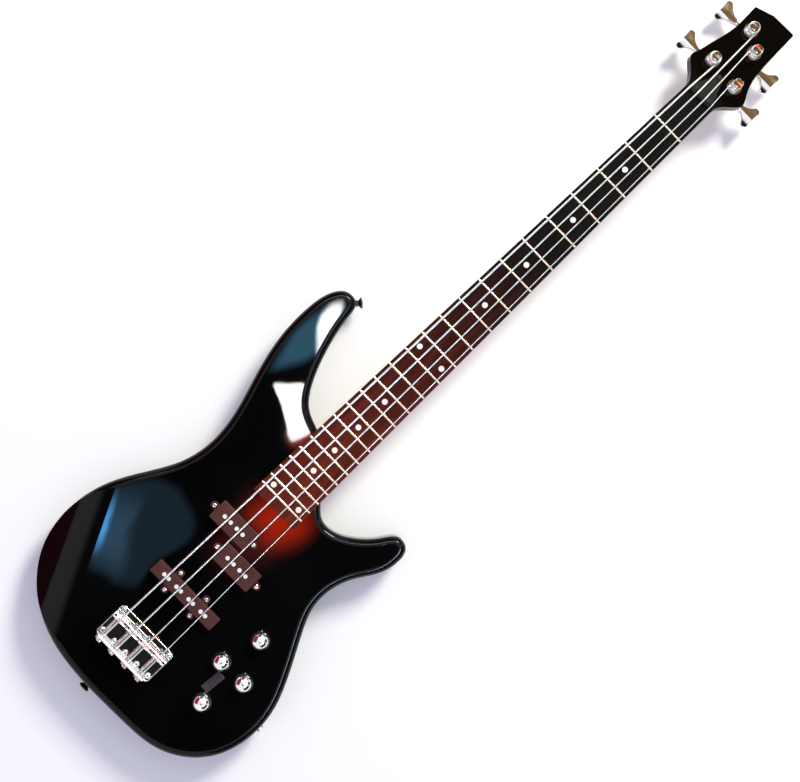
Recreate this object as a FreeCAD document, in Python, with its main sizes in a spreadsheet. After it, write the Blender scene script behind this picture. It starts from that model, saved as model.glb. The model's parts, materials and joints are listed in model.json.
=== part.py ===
import FreeCAD, Part
import math
import os
from FreeCAD import Placement, Rotation, Vector

# Electric bass guitar with four strings, lying on its back with the strings up, in millimetres.
# X runs from the bridge to the headstock, Y towards the thickest string, Z up from the flat back.
# The origin is on the back, under the point where the middle of the strings crosses the saddles.

# Driving sizes, one cell each
SIZES = (
    ("scale_length", 863.6),
    ("body_length", 511.5),
    ("body_width", 322.5),
    ("body_thickness", 40),
    ("edge_round", 9),
    ("forearm_round", 130),
    ("belly_scoop", 14),
    ("neck_stand", 5.5),
    ("heel_depth", 21.5),
    ("heel_length", 95),
    ("heel_round", 10),
    ("neck_depth_nut", 15),
    ("neck_depth_heel", 17.5),
    ("nut_width", 41),
    ("heel_width", 63),
    ("board_thickness", 6),
    ("board_radius", 305),
    ("board_overrun", 12.9),
    ("fret_width", 2.6),
    ("fret_height", 1.1),
    ("marker_radius", 3.25),
    ("marker_depth", 2.2),
    ("nut_thickness", 4),
    ("head_tilt", 6.5),
    ("head_length", 134),
    ("head_width", 82),
    ("head_thickness", 13),
    ("head_corner", 2),
    ("truss_radius", 3),
    ("truss_depth", 8),
    ("truss_nut_radius", 4.2),
    ("truss_nut_length", 10),
    ("truss_inset", 8),
    ("truss_end", 18),
    ("truss_well_length", 24),
    ("cover_thickness", 2.2),
    ("gauge_e", 2.6),
    ("gauge_a", 2.15),
    ("gauge_d", 1.65),
    ("gauge_g", 1.15),
    ("saddle_spacing", 19.8),
    ("nut_spacing", 10.8),
    ("lift_nut", 0.6),
    ("lift_bridge", 3.9),
    ("bridge_width", 80.4),
    ("bridge_front", 12.5),
    ("bridge_rear", 31),
    ("bridge_plate", 3),
    ("bridge_corner", 5),
    ("bridge_rim", 1.2),
    ("bridge_rim_height", 1.6),
    ("bridge_rim_round", 0.55),
    ("bridge_wall_round", 1.4),
    ("bridge_wall", 3),
    ("bridge_wall_height", 16),
    ("string_hole_radius", 2.4),
    ("string_hole_height", 2.6),
    ("ball_radius", 2.5),
    ("saddle_radius", 4),
    ("saddle_length", 18.8),
    ("grub_radius", 1.5),
    ("grub_inset", 2),
    ("grub_sunk", 1.5),
    ("intonation_offset", 3.6),
    ("screw_radius", 1.5),
    ("pickup_stand", 8.5),
    ("pickup_round", 1.2),
    ("pickup_sunk", 12),
    ("rout_depth", 19),
    ("split_length", 54),
    ("split_width", 25),
    ("split_gap", 44),
    ("split_step", 29.7),
    ("split_centre", 17.6),
    ("single_length", 94),
    ("single_width", 17),
    ("single_step", 62),
    ("pole_radius", 2.4),
    ("pole_proud", 0.6),
    ("split_pole_step", 9.4),
    ("single_pole_pair", 3.45),
    ("ear_radius", 4.5),
    ("ear_out", 3.8),
    ("ear_thickness", 3),
    ("single_ear_spread", 20.3),
    ("pickup_travel", 2),
    ("pickup_screw_length", 20),
    ("knob_radius", 10.6),
    ("knob_height", 14),
    ("knob_skirt", 5),
    ("knob_cap", 2.4),
    ("shaft_radius", 3),
    ("pot_radius", 8.5),
    ("pot_height", 10),
    ("pot_floor", 2),
    ("pot_nut_height", 2.2),
    ("cavity_roof", 5),
    ("cavity_clear", 3.6),
    ("cavity_lip", 6),
    ("cavity_corner", 20),
    ("plate_thickness", 2.5),
    ("battery_width", 26),
    ("battery_length", 48),
    ("battery_height", 17),
    ("circuit_length", 42),
    ("circuit_thickness", 1.6),
    ("circuit_clear", 3.9),
    ("jack_radius", 6),
    ("plug_radius", 3.2),
    ("jack_flange", 3),
    ("flange_thickness", 2),
    ("bolt_radius", 2.5),
    ("ferrule_radius", 7),
    ("bolt_cover", 6),
    ("button_radius", 6.2),
    ("button_length", 7),
    ("button_hole", 2),
    ("strap_screw_length", 22),
    ("post_radius", 4.5),
    ("post_height", 17),
    ("post_shaft", 4),
    ("post_sunk", 2.5),
    ("post_slot_depth", 5),
    ("bushing_radius", 6.4),
    ("bushing_flange", 2.2),
    ("housing_height", 11),
    ("housing_length", 23),
    ("housing_width", 22),
    ("housing_corner", 5),
    ("worm_radius", 2.5),
    ("key_reach", 43),
    ("key_width", 29),
    ("key_thickness", 7.4),
    ("key_bulge", 42),
    ("key_round", 0.9),
    ("press_gap", 0.02),
    ("fit_gap", 0.05),
    ("free_gap", 0.4),
    ("winding_gap", 0.3),
    ("winding_base", 5.6),
    ("turn_gap", 0.6),
)

FRET_COUNT = 24
STRING_NAMES = ("e", "a", "d", "g")
STRING_STEPS = (1.5, 0.5, -0.5, -1.5)
SINGLE_MARKERS = (3, 5, 7, 9, 15, 17, 19, 21)
DOUBLE_MARKERS = (12, 24)
NUT_BEND = 20
NUT_GRIP = 0.7
BACK = "0 * Sizes.body_thickness"
PICKUP_CORNER = 1.6
EAR_ROOT = 2
EAR_PROUD = 1
SCREW_HEAD_OVER = 1.4
SCREW_HEAD_HEIGHT = 1.8
FLAT_HEAD_RIM = 0.3
SMALL_SCREW_LENGTH = 8
MARKER_SPREAD = 0.63
FRET_END_INSET = 0.4
SIDE_HOLE_LENGTH = 26

# Body outline: tail, upper bout, upper horn, cutaways, lower horn
BODY_OUTLINE = (
    (-81.5, -10), (-80, 30), (-72, 72), (-50, 115), (-15, 146), (35, 158.5), (85, 151), (130, 128.5),
    (165, 110), (198, 102.5), (235, 105), (290, 121), (345, 134), (385, 135.5), (415, 130), (430, 117),
    (428.5, 102), (412, 96.5), (375, 88.5), (335, 73), (307, 51), (297, 26), (285, 5), (262, -15),
    (243, -33), (232.5, -46), (232, -64), (243, -85), (266, -107), (280.5, -121), (278, -134), (260, -139.5),
    (236, -133.5), (212, -119), (185, -109.5), (158, -110), (125, -124), (85, -145.5), (45, -161.5),
    (5, -164), (-30, -154), (-58, -131), (-75, -99), (-80.5, -55),
)
OUTLINE_PIECES = 8
RIM_SAMPLES = 400
RIM_SHARE = 0.85

# Places drawn on the same outline
TAIL_BUTTON = (-81.3, 4)
HORN_BUTTON = (428.5, 102)
JACK_PLACE = (18, -164)
KNOB_PLACES = ((91.2, -94.6), (44.7, -81.3), (45.2, -115.5), (-2.1, -98.3))
BATTERY_CORNER = (10.5, -22.5)
FOREARM_CREASE = (-5, 88.3)
FOREARM_TURN = 26.9
BELLY_RADIUS = 180
BELLY_PLACE = (150, 190)
BELLY_OUT = 73

# Neck bolts, then tuner posts along and across the headstock
BOLT_PLACES = ((214, 20), (214, -20), (270, 18), (238, -16))
POST_PLACES = ((41.5, 20), (99.5, 13.8), (83.3, -6.8), (37.9, -18.8))
WINDING_TURNS = (1.75, 2.25, 2.5, 3)

TRUSS_COVER_SCREWS = ((3.4, 10), (3.4, -10), (32, 0))
TRUSS_COVER_EDGE = ((0.4, 14), (8, 14), (20, 9.5), (30, 6))

# Bridge screws: rear row, front pair and how far out they stand
BRIDGE_SCREW_REAR = 24
BRIDGE_SCREW_FRONT = 7.6
BRIDGE_SCREW_EDGE = 35.4
BRIDGE_SCREW_HEAD = 3.4
SADDLE_SCREW_HEAD = 3
SADDLE_SCREW_HEAD_HEIGHT = 2.2

# Tuner key: its axis beside and below the post, collar, lobes and end notch
KEY_OFFSET = -3
KEY_DROP = 6
KEY_COLLAR_START = 11.3
KEY_COLLAR_END = 20
KEY_COLLAR_RADIUS = 3.6
KEY_INNER_END = 3.9
KEY_NECK = 3.4
KEY_LOBE = 4.6
KEY_NOTCH = 45

# Headstock outline: along from the nut, then across
HEAD_BASS_EDGE = ((0, 20.5), (10, 24.5), (20, 34), (30, 41.5), (38, 39.5), (52, 36.4), (68, 32.8),
                  (92, 29), (108, 29), (127, 29.8))
HEAD_TIP = (135.6, 7.5)
HEAD_TREBLE_EDGE = ((137, -24), (108, -25), (77, -26.5), (58, -29.5), (42, -36), (30, -40.5), (20, -33.5),
                    (10, -24.5), (0, -20.5))

doc = FreeCAD.newDocument("bass_guitar")
sheet = doc.addObject("Spreadsheet::Sheet", "Sizes")
for row, (alias, value) in enumerate(SIZES, start=1):
    sheet.set(f"A{row}", alias)
    sheet.set(f"B{row}", str(value))
    sheet.setAlias(f"B{row}", alias)
doc.recompute()


class SheetSizes:
    """Reads a driving size from the sheet by its name."""

    def __getattr__(self, name):
        return float(sheet.get(name))


S = SheetSizes()
UP = Vector(0, 0, 1)
pieces = {}


def piece(label, obj):
    """Name an object as one sub-part of the instrument."""
    obj.Label = label
    pieces[label] = obj
    return obj


def bind(obj, expressions):
    """Tie properties of an object to cells of the sheet."""
    for prop, text in expressions.items():
        obj.setExpression(prop, text)
    return obj


def at(x, y, z):
    return Placement(Vector(x, y, z), Rotation())


def pointing(place, direction):
    """A placement whose own Z axis points along a direction."""
    return Placement(Vector(*place), Rotation(UP, Vector(*direction)))


# Heights and lengths that follow from the driving sizes
def neck_top():
    return S.body_thickness + S.neck_stand


def board_top():
    return neck_top() + S.board_thickness


def fret_top():
    return board_top() + S.fret_height


def fret_x(number):
    """Distance of a fret from the bridge line in equal temperament."""
    return S.scale_length * 2 ** (-number / 12)


def board_end():
    return fret_x(FRET_COUNT) - S.board_overrun


def board_half(x):
    """Half the width of the fretboard at a distance from the bridge."""
    taper = (S.heel_width - S.nut_width) / (S.scale_length - board_end())
    return (S.nut_width + taper * (S.scale_length - x)) / 2


def board_drop(y):
    """How far the rounded fretboard falls below its crown."""
    return S.board_radius - math.sqrt(S.board_radius ** 2 - y ** 2)


def gauge(index):
    return float(sheet.get("gauge_" + STRING_NAMES[index]))


def string_y(index, x):
    """Where a string lies across the neck, at a distance from the bridge."""
    spacing = S.saddle_spacing + (S.nut_spacing - S.saddle_spacing) * x / S.scale_length
    return STRING_STEPS[index] * spacing


def string_z(index, x):
    """Height of a string's centre, following the rounded fretboard."""
    lift = S.lift_bridge + (S.lift_nut - S.lift_bridge) * x / S.scale_length
    return fret_top() + lift + gauge(index) / 2 - board_drop(string_y(index, x))


def saddle_centre_z(index):
    return string_z(index, 0) - gauge(index) / 2 - S.fit_gap - S.saddle_radius


def head_point(along, across, height=0.0):
    """A point of the headstock: along its face from the nut, across it and above it."""
    tilt = math.radians(S.head_tilt)
    x = S.scale_length + S.nut_thickness + along * math.cos(tilt) + height * math.sin(tilt)
    z = neck_top() - along * math.sin(tilt) + height * math.cos(tilt)
    return Vector(x, across, z)


def head_place(along, across, height=0.0, turn=0.0):
    """A placement on the headstock, its Z axis square to the face."""
    lean = Rotation(Vector(0, 1, 0), S.head_tilt)
    return Placement(head_point(along, across, height), lean.multiply(Rotation(UP, turn)))


# Building blocks
def lines(points):
    """Straight lines from point to point in a sketch."""
    row = [Vector(x, y, 0) for x, y in points]
    return [Part.LineSegment(a, b) for a, b in zip(row, row[1:])]


def segments(points):
    """A closed ring of straight lines through points in a sketch."""
    ring = list(points)
    return lines(ring + ring[:1])


def circle(x, y, radius):
    return [Part.Circle(Vector(x, y, 0), UP, radius)]


def rounded_rectangle(x, y, length, width, radius):
    """Lines and quarter arcs of a rectangle centred on x, y."""
    a = length / 2
    b = width / 2
    corners = ((a - radius, b - radius, 0), (radius - a, b - radius, 90),
               (radius - a, radius - b, 180), (a - radius, radius - b, 270))
    arcs = []
    for cx, cy, start in corners:
        ring = Part.Circle(Vector(x + cx, y + cy, 0), UP, radius)
        arcs.append(Part.ArcOfCircle(ring, math.radians(start), math.radians(start + 90)))
    lines = [Part.LineSegment(one.EndPoint, two.StartPoint) for one, two in zip(arcs, arcs[1:] + arcs[:1])]
    return arcs + lines


def drawing(name, geometry, placement=Placement()):
    """A free sketch for a turned or extruded piece."""
    sketch = doc.addObject("Sketcher::SketchObject", name)
    sketch.addGeometry(geometry, False)
    sketch.Placement = placement
    return sketch


def extruded(name, geometry, level, height):
    """A drawing lifted to a level and extruded up by a height, both as expressions on the sheet."""
    sketch = drawing(name + "_outline", geometry)
    sketch.setExpression("Placement.Base.z", level)
    solid = doc.addObject("Part::Extrusion", name)
    solid.Base = sketch
    solid.DirMode = "Custom"
    solid.Dir = UP
    solid.Solid = True
    solid.setExpression("LengthFwd", height)
    return solid


def revolved(name, section, placement):
    """A solid of revolution about its own Z axis, from a section drawn in radius and height."""
    sketch = drawing(name + "_profile", section, Placement(Vector(), Rotation(Vector(1, 0, 0), 90)))
    solid = doc.addObject("Part::Revolution", name)
    solid.Source = sketch
    solid.Axis = UP
    solid.Base = Vector()
    solid.Angle = 360
    solid.Solid = True
    solid.Placement = placement
    return solid


def turned(name, profile, placement):
    """A solid of revolution from a ring of (radius, height) points."""
    return revolved(name, segments(profile), placement)


def cylinder(name, radius, height, placement):
    """A cylinder whose radius and height are expressions on the sheet."""
    solid = doc.addObject("Part::Cylinder", name)
    bind(solid, {"Radius": radius, "Height": height})
    solid.Placement = placement
    return solid


def joined(name, members):
    solid = doc.addObject("Part::MultiFuse", name)
    solid.Shapes = members
    return solid


def cut(name, base, tools):
    """A base with one or more tools cut out of it."""
    tool = tools[0]
    if len(tools) > 1:
        tool = joined(name + "_tools", tools)
    solid = doc.addObject("Part::Cut", name)
    solid.Base = base
    solid.Tool = tool
    return solid


def group(label, members):
    """Separate solids that share one node."""
    bundle = doc.addObject("Part::Compound", label)
    bundle.Links = members
    return piece(label, bundle)


def shaped(name, shape, placement=Placement()):
    """A shape with no simpler recipe, made from the sheet's sizes."""
    solid = doc.addObject("Part::Feature", name)
    solid.Shape = shape
    solid.Placement = placement
    return solid


def in_body(body, name, geometry, level):
    """A sketch on a body's own ground plane, lifted to a level on the sheet."""
    sketch = body.newObject("Sketcher::SketchObject", name)
    plane = next(item for item in body.Origin.OriginFeatures if item.Role == "XY_Plane")
    sketch.AttachmentSupport = (plane, [""])
    sketch.MapMode = "FlatFace"
    sketch.setExpression("AttachmentOffset.Base.z", level)
    sketch.addGeometry(geometry, False)
    return sketch


def pocket(body, name, geometry, level, depth, upward=False):
    """Cut a drawing into a body and make sure that wood was removed."""
    before = body.Shape.Volume
    feature = body.newObject("PartDesign::Pocket", name)
    feature.Profile = in_body(body, name + "_outline", geometry, level)
    feature.Reversed = upward
    feature.setExpression("Length", depth)
    doc.recompute()
    if body.Shape.Volume >= before:
        raise RuntimeError(name + " removed nothing")
    return feature


# Wooden body
def span(points, axis):
    """How far a row of points reaches along one axis."""
    values = [point[axis] for point in points]
    return max(values) - min(values)


def drawn_place(x, y):
    """A place on the drawn body, moved with the body's length and width."""
    stretch = S.body_length / span(BODY_OUTLINE, 0)
    spread = S.body_width / span(BODY_OUTLINE, 1)
    return Vector(x * stretch, y * spread, 0)


def outline_curve():
    """The closed body outline as one smooth curve."""
    curve = Part.BSplineCurve()
    curve.interpolate([drawn_place(x, y) for x, y in BODY_OUTLINE], PeriodicFlag=True)
    return curve


def outline_pieces():
    """The outline cut into equal stretches, which meet smoothly."""
    whole = outline_curve()
    step = (whole.LastParameter - whole.FirstParameter) / OUTLINE_PIECES
    stretches = []
    for number in range(OUTLINE_PIECES):
        stretch = whole.copy()
        stretch.segment(whole.FirstParameter + number * step, whole.FirstParameter + (number + 1) * step)
        stretches.append(stretch)
    return stretches


def outward_at(curve, place):
    """The level direction that points out of the body from a place on its outline."""
    along = curve.tangent(place)[0]
    return Vector(-along.y, along.x, 0)


def on_outline(x, y):
    """The point of the outline nearest to a drawn point, with its outward direction."""
    curve = outline_curve()
    place = curve.parameter(drawn_place(x, y))
    return curve.value(place), outward_at(curve, place)


def rim_limit():
    """The largest rounding that the outline's tightest outward bend can take."""
    curve = outline_curve()
    first = curve.FirstParameter
    step = (curve.LastParameter - first) / RIM_SAMPLES
    tightest = S.body_width
    for place in (first + step * number for number in range(RIM_SAMPLES)):
        bend = curve.curvature(place)
        if bend * tightest > 1:
            to_centre = curve.centerOfCurvature(place) - curve.value(place)
            if to_centre.dot(outward_at(curve, place)) < 0:
                tightest = 1 / bend
    return RIM_SHARE * tightest


def knob_places():
    return [drawn_place(x, y) for x, y in KNOB_PLACES]


def cavity_centre():
    """Middle of the control cavity: midway between the outermost knobs."""
    x, y = zip(*((place.x, place.y) for place in knob_places()))
    return Vector((min(x) + max(x)) / 2, (min(y) + max(y)) / 2, 0)


def cavity_size():
    """Length and width of the control cavity, with room round every potentiometer."""
    room = 2 * (S.pot_radius + S.cavity_clear)
    return span(knob_places(), 0) + room, span(knob_places(), 1) + room


def neck_pocket():
    """Outline of the heel's pocket, running out through the end of the body."""
    near = board_end() - S.fit_gap
    far = S.body_length
    return segments(((near, board_half(near) + S.fit_gap), (far, board_half(far) + S.fit_gap),
                     (far, -board_half(far) - S.fit_gap), (near, -board_half(near) - S.fit_gap)))


def split_places():
    """Centre of each half of the split pickup: bass side, then treble side."""
    bass_x = board_end() - S.split_gap
    return ((bass_x, S.split_centre), (bass_x - S.split_step, -S.split_centre))


def single_x():
    return board_end() - S.split_gap - S.split_step - S.single_step


def split_ears(x, y):
    """The two screw ears at the ends of a split half: centre, then the way they stick out."""
    reach = S.split_length / 2 + S.ear_out
    return [(x, y + way * reach, 0, way) for way in (1, -1)]


def single_ears():
    """The four screw ears on the long sides of the single pickup."""
    reach = S.single_width / 2 + S.ear_out
    return [(single_x() + way * reach, side * S.single_ear_spread, way, 0)
            for way in (1, -1) for side in (1, -1)]


def ear_outline(ear, grow):
    """A screw ear from above: a round end on two straight sides that run in under the block."""
    x, y, way_x, way_y = ear
    radius = S.ear_radius + grow
    tip = Vector(x, y, 0)
    out = Vector(way_x, way_y, 0)
    side = Vector(-way_y, way_x, 0) * radius
    root = tip - out * (S.ear_out + EAR_ROOT)
    return [Part.Arc(tip - side, tip + out * radius, tip + side), Part.LineSegment(tip + side, root + side),
            Part.LineSegment(root + side, root - side), Part.LineSegment(root - side, tip - side)]


def pickup_outline(x, y, width, length, grow):
    return rounded_rectangle(x, y, width + 2 * grow, length + 2 * grow, PICKUP_CORNER + grow)


def cover_outline(grow):
    """Outline of the control cavity, or of its lip or cover a little further out."""
    centre = cavity_centre()
    length, width = cavity_size()
    return rounded_rectangle(centre.x, centre.y, length + 2 * grow, width + 2 * grow, S.cavity_corner + grow)


def cover_screw_places():
    """Six screws along the middle of the cavity's lip."""
    x, y, _ = cavity_centre()
    length, width = cavity_size()
    out_x = (length + S.cavity_lip) / 2
    out_y = (width + S.cavity_lip) / 2
    long_sides = [(x + way * length / 3, y + side * out_y) for way in (1, -1) for side in (1, -1)]
    return long_sides + [(x + out_x, y), (x - out_x, y)]


def jack_place():
    """Middle of the jack on the body's treble side, where the outline is furthest out."""
    return on_outline(*JACK_PLACE)[0]


def jack_reach():
    """From the outline at the jack to the wall of the control cavity."""
    return cavity_centre().y - cavity_size()[1] / 2 - jack_place().y


def forearm_tool():
    """What the rounded forearm contour takes off the top, beyond a crease on the lower bout."""
    turn = Rotation(UP, FOREARM_TURN)
    start = drawn_place(*FOREARM_CREASE) + turn.multVec(Vector(-S.body_length, 0, 0))
    block = doc.addObject("Part::Box", "forearm_block")
    bind(block, {"Length": "2 * Sizes.body_length", "Width": "Sizes.body_width",
                 "Height": "Sizes.body_thickness"})
    block.Placement = Placement(start + UP * (S.body_thickness / 2), turn)
    roll = cylinder("forearm_roll", "Sizes.forearm_round", "2 * Sizes.body_length",
                    Placement(start + UP * (S.body_thickness - S.forearm_round),
                              turn.multiply(Rotation(UP, Vector(1, 0, 0)))))
    return cut("forearm_tool", block, [roll])


def belly_tool():
    """A ball that scoops the belly contour out of the back edge at the waist."""
    ball = doc.addObject("Part::Sphere", "belly_ball")
    ball.Radius = BELLY_RADIUS
    sink = math.sqrt(BELLY_RADIUS ** 2 - BELLY_OUT ** 2) - S.belly_scoop
    ball.Placement = Placement(drawn_place(*BELLY_PLACE) - UP * sink, Rotation())
    return ball


def make_slab(wood):
    """The slab with its rounded rims."""
    pad = wood.newObject("PartDesign::Pad", "slab")
    pad.Profile = in_body(wood, "slab_outline", outline_pieces(), BACK)
    pad.setExpression("Length", "Sizes.body_thickness")
    doc.recompute()
    rims = [f"Edge{i}" for i, edge in enumerate(pad.Shape.Edges, start=1)
            if edge.BoundBox.ZLength < S.body_thickness / 2]
    rounding = wood.newObject("PartDesign::Fillet", "rim_rounding")
    rounding.Base = (pad, rims)
    rounding.setExpression("Radius", f"min(Sizes.edge_round; {rim_limit()})")
    doc.recompute()


def rout_top(wood):
    """Pockets of the neck and the pickups, and the holes under the knobs."""
    top = "Sizes.body_thickness"
    pocket(wood, "neck_pocket", neck_pocket(), top, "Sizes.heel_depth - Sizes.neck_stand")
    grow = S.free_gap
    routs = pickup_outline(single_x(), 0, S.single_width, S.single_length, grow)
    for x, y in split_places():
        routs += pickup_outline(x, y, S.split_width, S.split_length, grow)
    pocket(wood, "pickup_routs", routs, top, "Sizes.rout_depth")
    ears = [ear for place in split_places() for ear in split_ears(*place)] + single_ears()
    for number, ear in enumerate(ears, start=1):
        pocket(wood, f"ear_rout_{number}", ear_outline(ear, grow), top,
               "Sizes.ear_thickness + Sizes.pickup_travel")
    screw_holes = [circle(x, y, S.screw_radius + S.fit_gap) for x, y, *way in ears]
    pocket(wood, "pickup_screw_holes", sum(screw_holes, []), top,
           "Sizes.pickup_screw_length + 2 * Sizes.pickup_travel")


def rout_back(wood):
    """The control cavity with its lip, and the holes drilled from the back."""
    pocket(wood, "cover_recess", cover_outline(S.cavity_lip + S.fit_gap), BACK, "Sizes.plate_thickness",
           upward=True)
    pocket(wood, "control_cavity", cover_outline(0), BACK, "Sizes.body_thickness - Sizes.cavity_roof",
           upward=True)
    threads = [circle(x, y, S.screw_radius + S.fit_gap) for x, y in cover_screw_places()]
    pocket(wood, "cover_screw_holes", sum(threads, []), BACK,
           f"Sizes.plate_thickness + {SMALL_SCREW_LENGTH}", upward=True)
    bushings = [circle(place.x, place.y, bushing_thread_radius() + S.fit_gap) for place in knob_places()]
    pocket(wood, "knob_holes", sum(bushings, []), "Sizes.body_thickness", "2 * Sizes.cavity_roof")
    bolts = [circle(x, y, S.bolt_radius + S.fit_gap) for x, y in BOLT_PLACES]
    pocket(wood, "bolt_holes", sum(bolts, []), BACK, "Sizes.body_thickness", upward=True)
    seats = [circle(x, y, S.ferrule_radius + S.fit_gap) for x, y in BOLT_PLACES]
    pocket(wood, "ferrule_seats", sum(seats, []), BACK, "Sizes.plate_thickness", upward=True)


def side_holes():
    """Holes for the jack and for the screws of the strap buttons."""
    middle = UP * (S.body_thickness / 2)
    start = jack_place() - Vector(0, S.jack_flange, 0)
    holes = [cylinder("jack_hole", "Sizes.jack_radius + Sizes.fit_gap",
                      f"{jack_reach()} + 2 * Sizes.jack_flange", pointing(start + middle, (0, 1, 0)))]
    for number, (x, y) in enumerate((TAIL_BUTTON, HORN_BUTTON), start=1):
        place, outward = on_outline(x, y)
        holes.append(cylinder(f"button_hole_{number}", "Sizes.button_hole + Sizes.fit_gap",
                              f"{SIDE_HOLE_LENGTH}", pointing(place + middle + outward, -outward)))
    return holes


def make_body():
    wood = doc.addObject("PartDesign::Body", "body_wood")
    make_slab(wood)
    rout_top(wood)
    rout_back(wood)
    piece("body", cut("body", wood, [forearm_tool(), belly_tool()] + side_holes()))


# Neck, fretboard, frets and nut
def neck_section(x, depth):
    """A rounded neck section: flat on top, half an ellipse below."""
    half = board_half(x)
    centre = Vector(x, 0, neck_top())
    low = centre - UP * depth
    oval = Part.Ellipse(centre + Vector(0, half, 0), low, centre)
    start = oval.parameter(centre + Vector(0, half, 0))
    end = oval.parameter(centre - Vector(0, half, 0))
    if not start < oval.parameter(low) < end:
        start, end = end - 2 * math.pi, start
    curve = Part.ArcOfEllipse(oval, start, end).toShape()
    lid = Part.LineSegment(curve.Vertexes[-1].Point, curve.Vertexes[0].Point).toShape()
    return Part.Wire([curve, lid])


def head_solid():
    """The tilted headstock plate with its flared outline."""
    drawn = HEAD_BASS_EDGE + HEAD_TREBLE_EDGE
    stretch = S.head_length / span(drawn, 0)
    spread = S.head_width / span(drawn, 1)

    def edge(points):
        curve = Part.BSplineCurve()
        curve.interpolate([head_point(along * stretch, across * spread) for along, across in points])
        return curve.toShape()

    bass = edge(HEAD_BASS_EDGE)
    treble = edge(HEAD_TREBLE_EDGE)
    peak = head_point(HEAD_TIP[0] * stretch, HEAD_TIP[1] * spread)
    tip = [Part.LineSegment(bass.Vertexes[-1].Point, peak).toShape(),
           Part.LineSegment(peak, treble.Vertexes[0].Point).toShape()]
    root = Part.LineSegment(treble.Vertexes[-1].Point, bass.Vertexes[0].Point).toShape()
    face = Part.Face(Part.Wire([bass, *tip, treble, root]))
    down = head_point(0, 0, -S.head_thickness) - head_point(0, 0)
    plate = face.extrude(down)
    half_way = head_point(S.head_length / 2, 0).x
    corners = [edge for edge in plate.Edges
               if edge.Length < S.head_thickness * 1.01 and edge.CenterOfMass.x > half_way]
    return plate.makeFillet(S.head_corner, corners)


def heel_solid():
    """The square heel in the body's pocket, rounded where the neck leaves the body."""
    near = board_end()
    far = near + S.heel_length
    base = neck_top() - S.heel_depth
    rim = [Vector(near, board_half(near), base), Vector(far, board_half(far), base),
           Vector(far, -board_half(far), base), Vector(near, -board_half(near), base)]
    heel = Part.Face(Part.makePolygon(rim + rim[:1])).extrude(UP * S.heel_depth)
    front = [edge for edge in heel.Edges if edge.BoundBox.XMin > far - 1 and edge.BoundBox.ZMax < base + 1]
    return heel.makeFillet(S.heel_round, front)


def neck_blank():
    """Shaft, heel and headstock in one piece of wood."""
    back = S.scale_length + S.nut_thickness
    near = board_end()
    mean_depth = (S.neck_depth_nut + S.neck_depth_heel) / 2
    shaft = Part.makeLoft([neck_section(near + S.heel_length - S.neck_depth_heel * 2, S.neck_depth_heel),
                           neck_section((near + back) / 2, mean_depth),
                           neck_section(back, S.neck_depth_nut)], True, False)
    return shaped("neck_blank", shaft.fuse([heel_solid(), head_solid()]).removeSplitter())


def truss_holes():
    """The rod's channel and the well round its nut."""
    near = board_end() + S.truss_inset
    channel = cylinder("truss_channel", "Sizes.truss_radius + Sizes.fit_gap",
                       f"{S.scale_length - near} + Sizes.truss_end + Sizes.nut_thickness",
                       pointing((near, 0, truss_z()), (1, 0, 0)))
    well = doc.addObject("Part::Box", "truss_well")
    side = S.truss_nut_radius + S.truss_radius / 2
    bind(well, {"Length": "Sizes.truss_well_length", "Width": f"{2 * side}",
                "Height": "2 * Sizes.truss_depth"})
    well.Placement = at(S.scale_length + S.nut_thickness + S.truss_radius, -side,
                        truss_z() - S.truss_nut_radius - 2 * S.free_gap)
    return [channel, well]


def make_neck():
    holes = truss_holes()
    for number, (along, across) in enumerate(POST_PLACES, start=1):
        holes.append(cylinder(f"post_hole_{number}", "Sizes.bushing_radius + Sizes.fit_gap",
                              "Sizes.head_thickness + 2", head_place(along, across, -S.head_thickness - 1)))
    for number, (along, across) in enumerate(TRUSS_COVER_SCREWS, start=1):
        holes.append(cylinder(f"cover_thread_{number}", "Sizes.screw_radius + Sizes.fit_gap",
                              f"{SMALL_SCREW_LENGTH + 1}", head_place(along, across, -SMALL_SCREW_LENGTH)))
    heel_base = neck_top() - S.heel_depth
    for number, (x, y) in enumerate(BOLT_PLACES, start=1):
        holes.append(cylinder(f"heel_hole_{number}", "Sizes.bolt_radius + Sizes.fit_gap",
                              "Sizes.heel_depth - Sizes.bolt_cover + 2", at(x, y, heel_base - 1)))
    piece("neck", cut("neck", neck_blank(), holes))


def truss_z():
    return neck_top() - S.truss_depth


def board_blank():
    """The tapered fretboard under its rounded top."""
    near = board_end()
    far = S.scale_length
    low = neck_top()
    rim = [Vector(near, board_half(near), low), Vector(far, board_half(far), low),
           Vector(far, -board_half(far), low), Vector(near, -board_half(near), low)]
    slab = Part.Face(Part.makePolygon(rim + rim[:1])).extrude(UP * S.board_thickness)
    crown = Part.makeCylinder(S.board_radius, far - near + 2,
                              Vector(near - 1, 0, board_top() - S.board_radius), Vector(1, 0, 0))
    return slab.common(crown)


def marker_places():
    """Centres of the position dots, midway between the frets."""
    places = [((fret_x(n) + fret_x(n - 1)) / 2, 0) for n in SINGLE_MARKERS]
    for n in DOUBLE_MARKERS:
        x = (fret_x(n) + fret_x(n - 1)) / 2
        places += [(x, side * board_half(x) * MARKER_SPREAD) for side in (1, -1)]
    return places


def make_board():
    plugs = [Part.makeCylinder(S.marker_radius, 2 * S.marker_depth,
                               Vector(x, y, board_top() - board_drop(y) - S.marker_depth))
             for x, y in marker_places()]
    blank = board_blank()
    piece("fretboard", shaped("fretboard", blank.cut(plugs)))
    piece("position_markers", shaped("position_markers", Part.makeCompound([blank.common(p) for p in plugs])))


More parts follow.
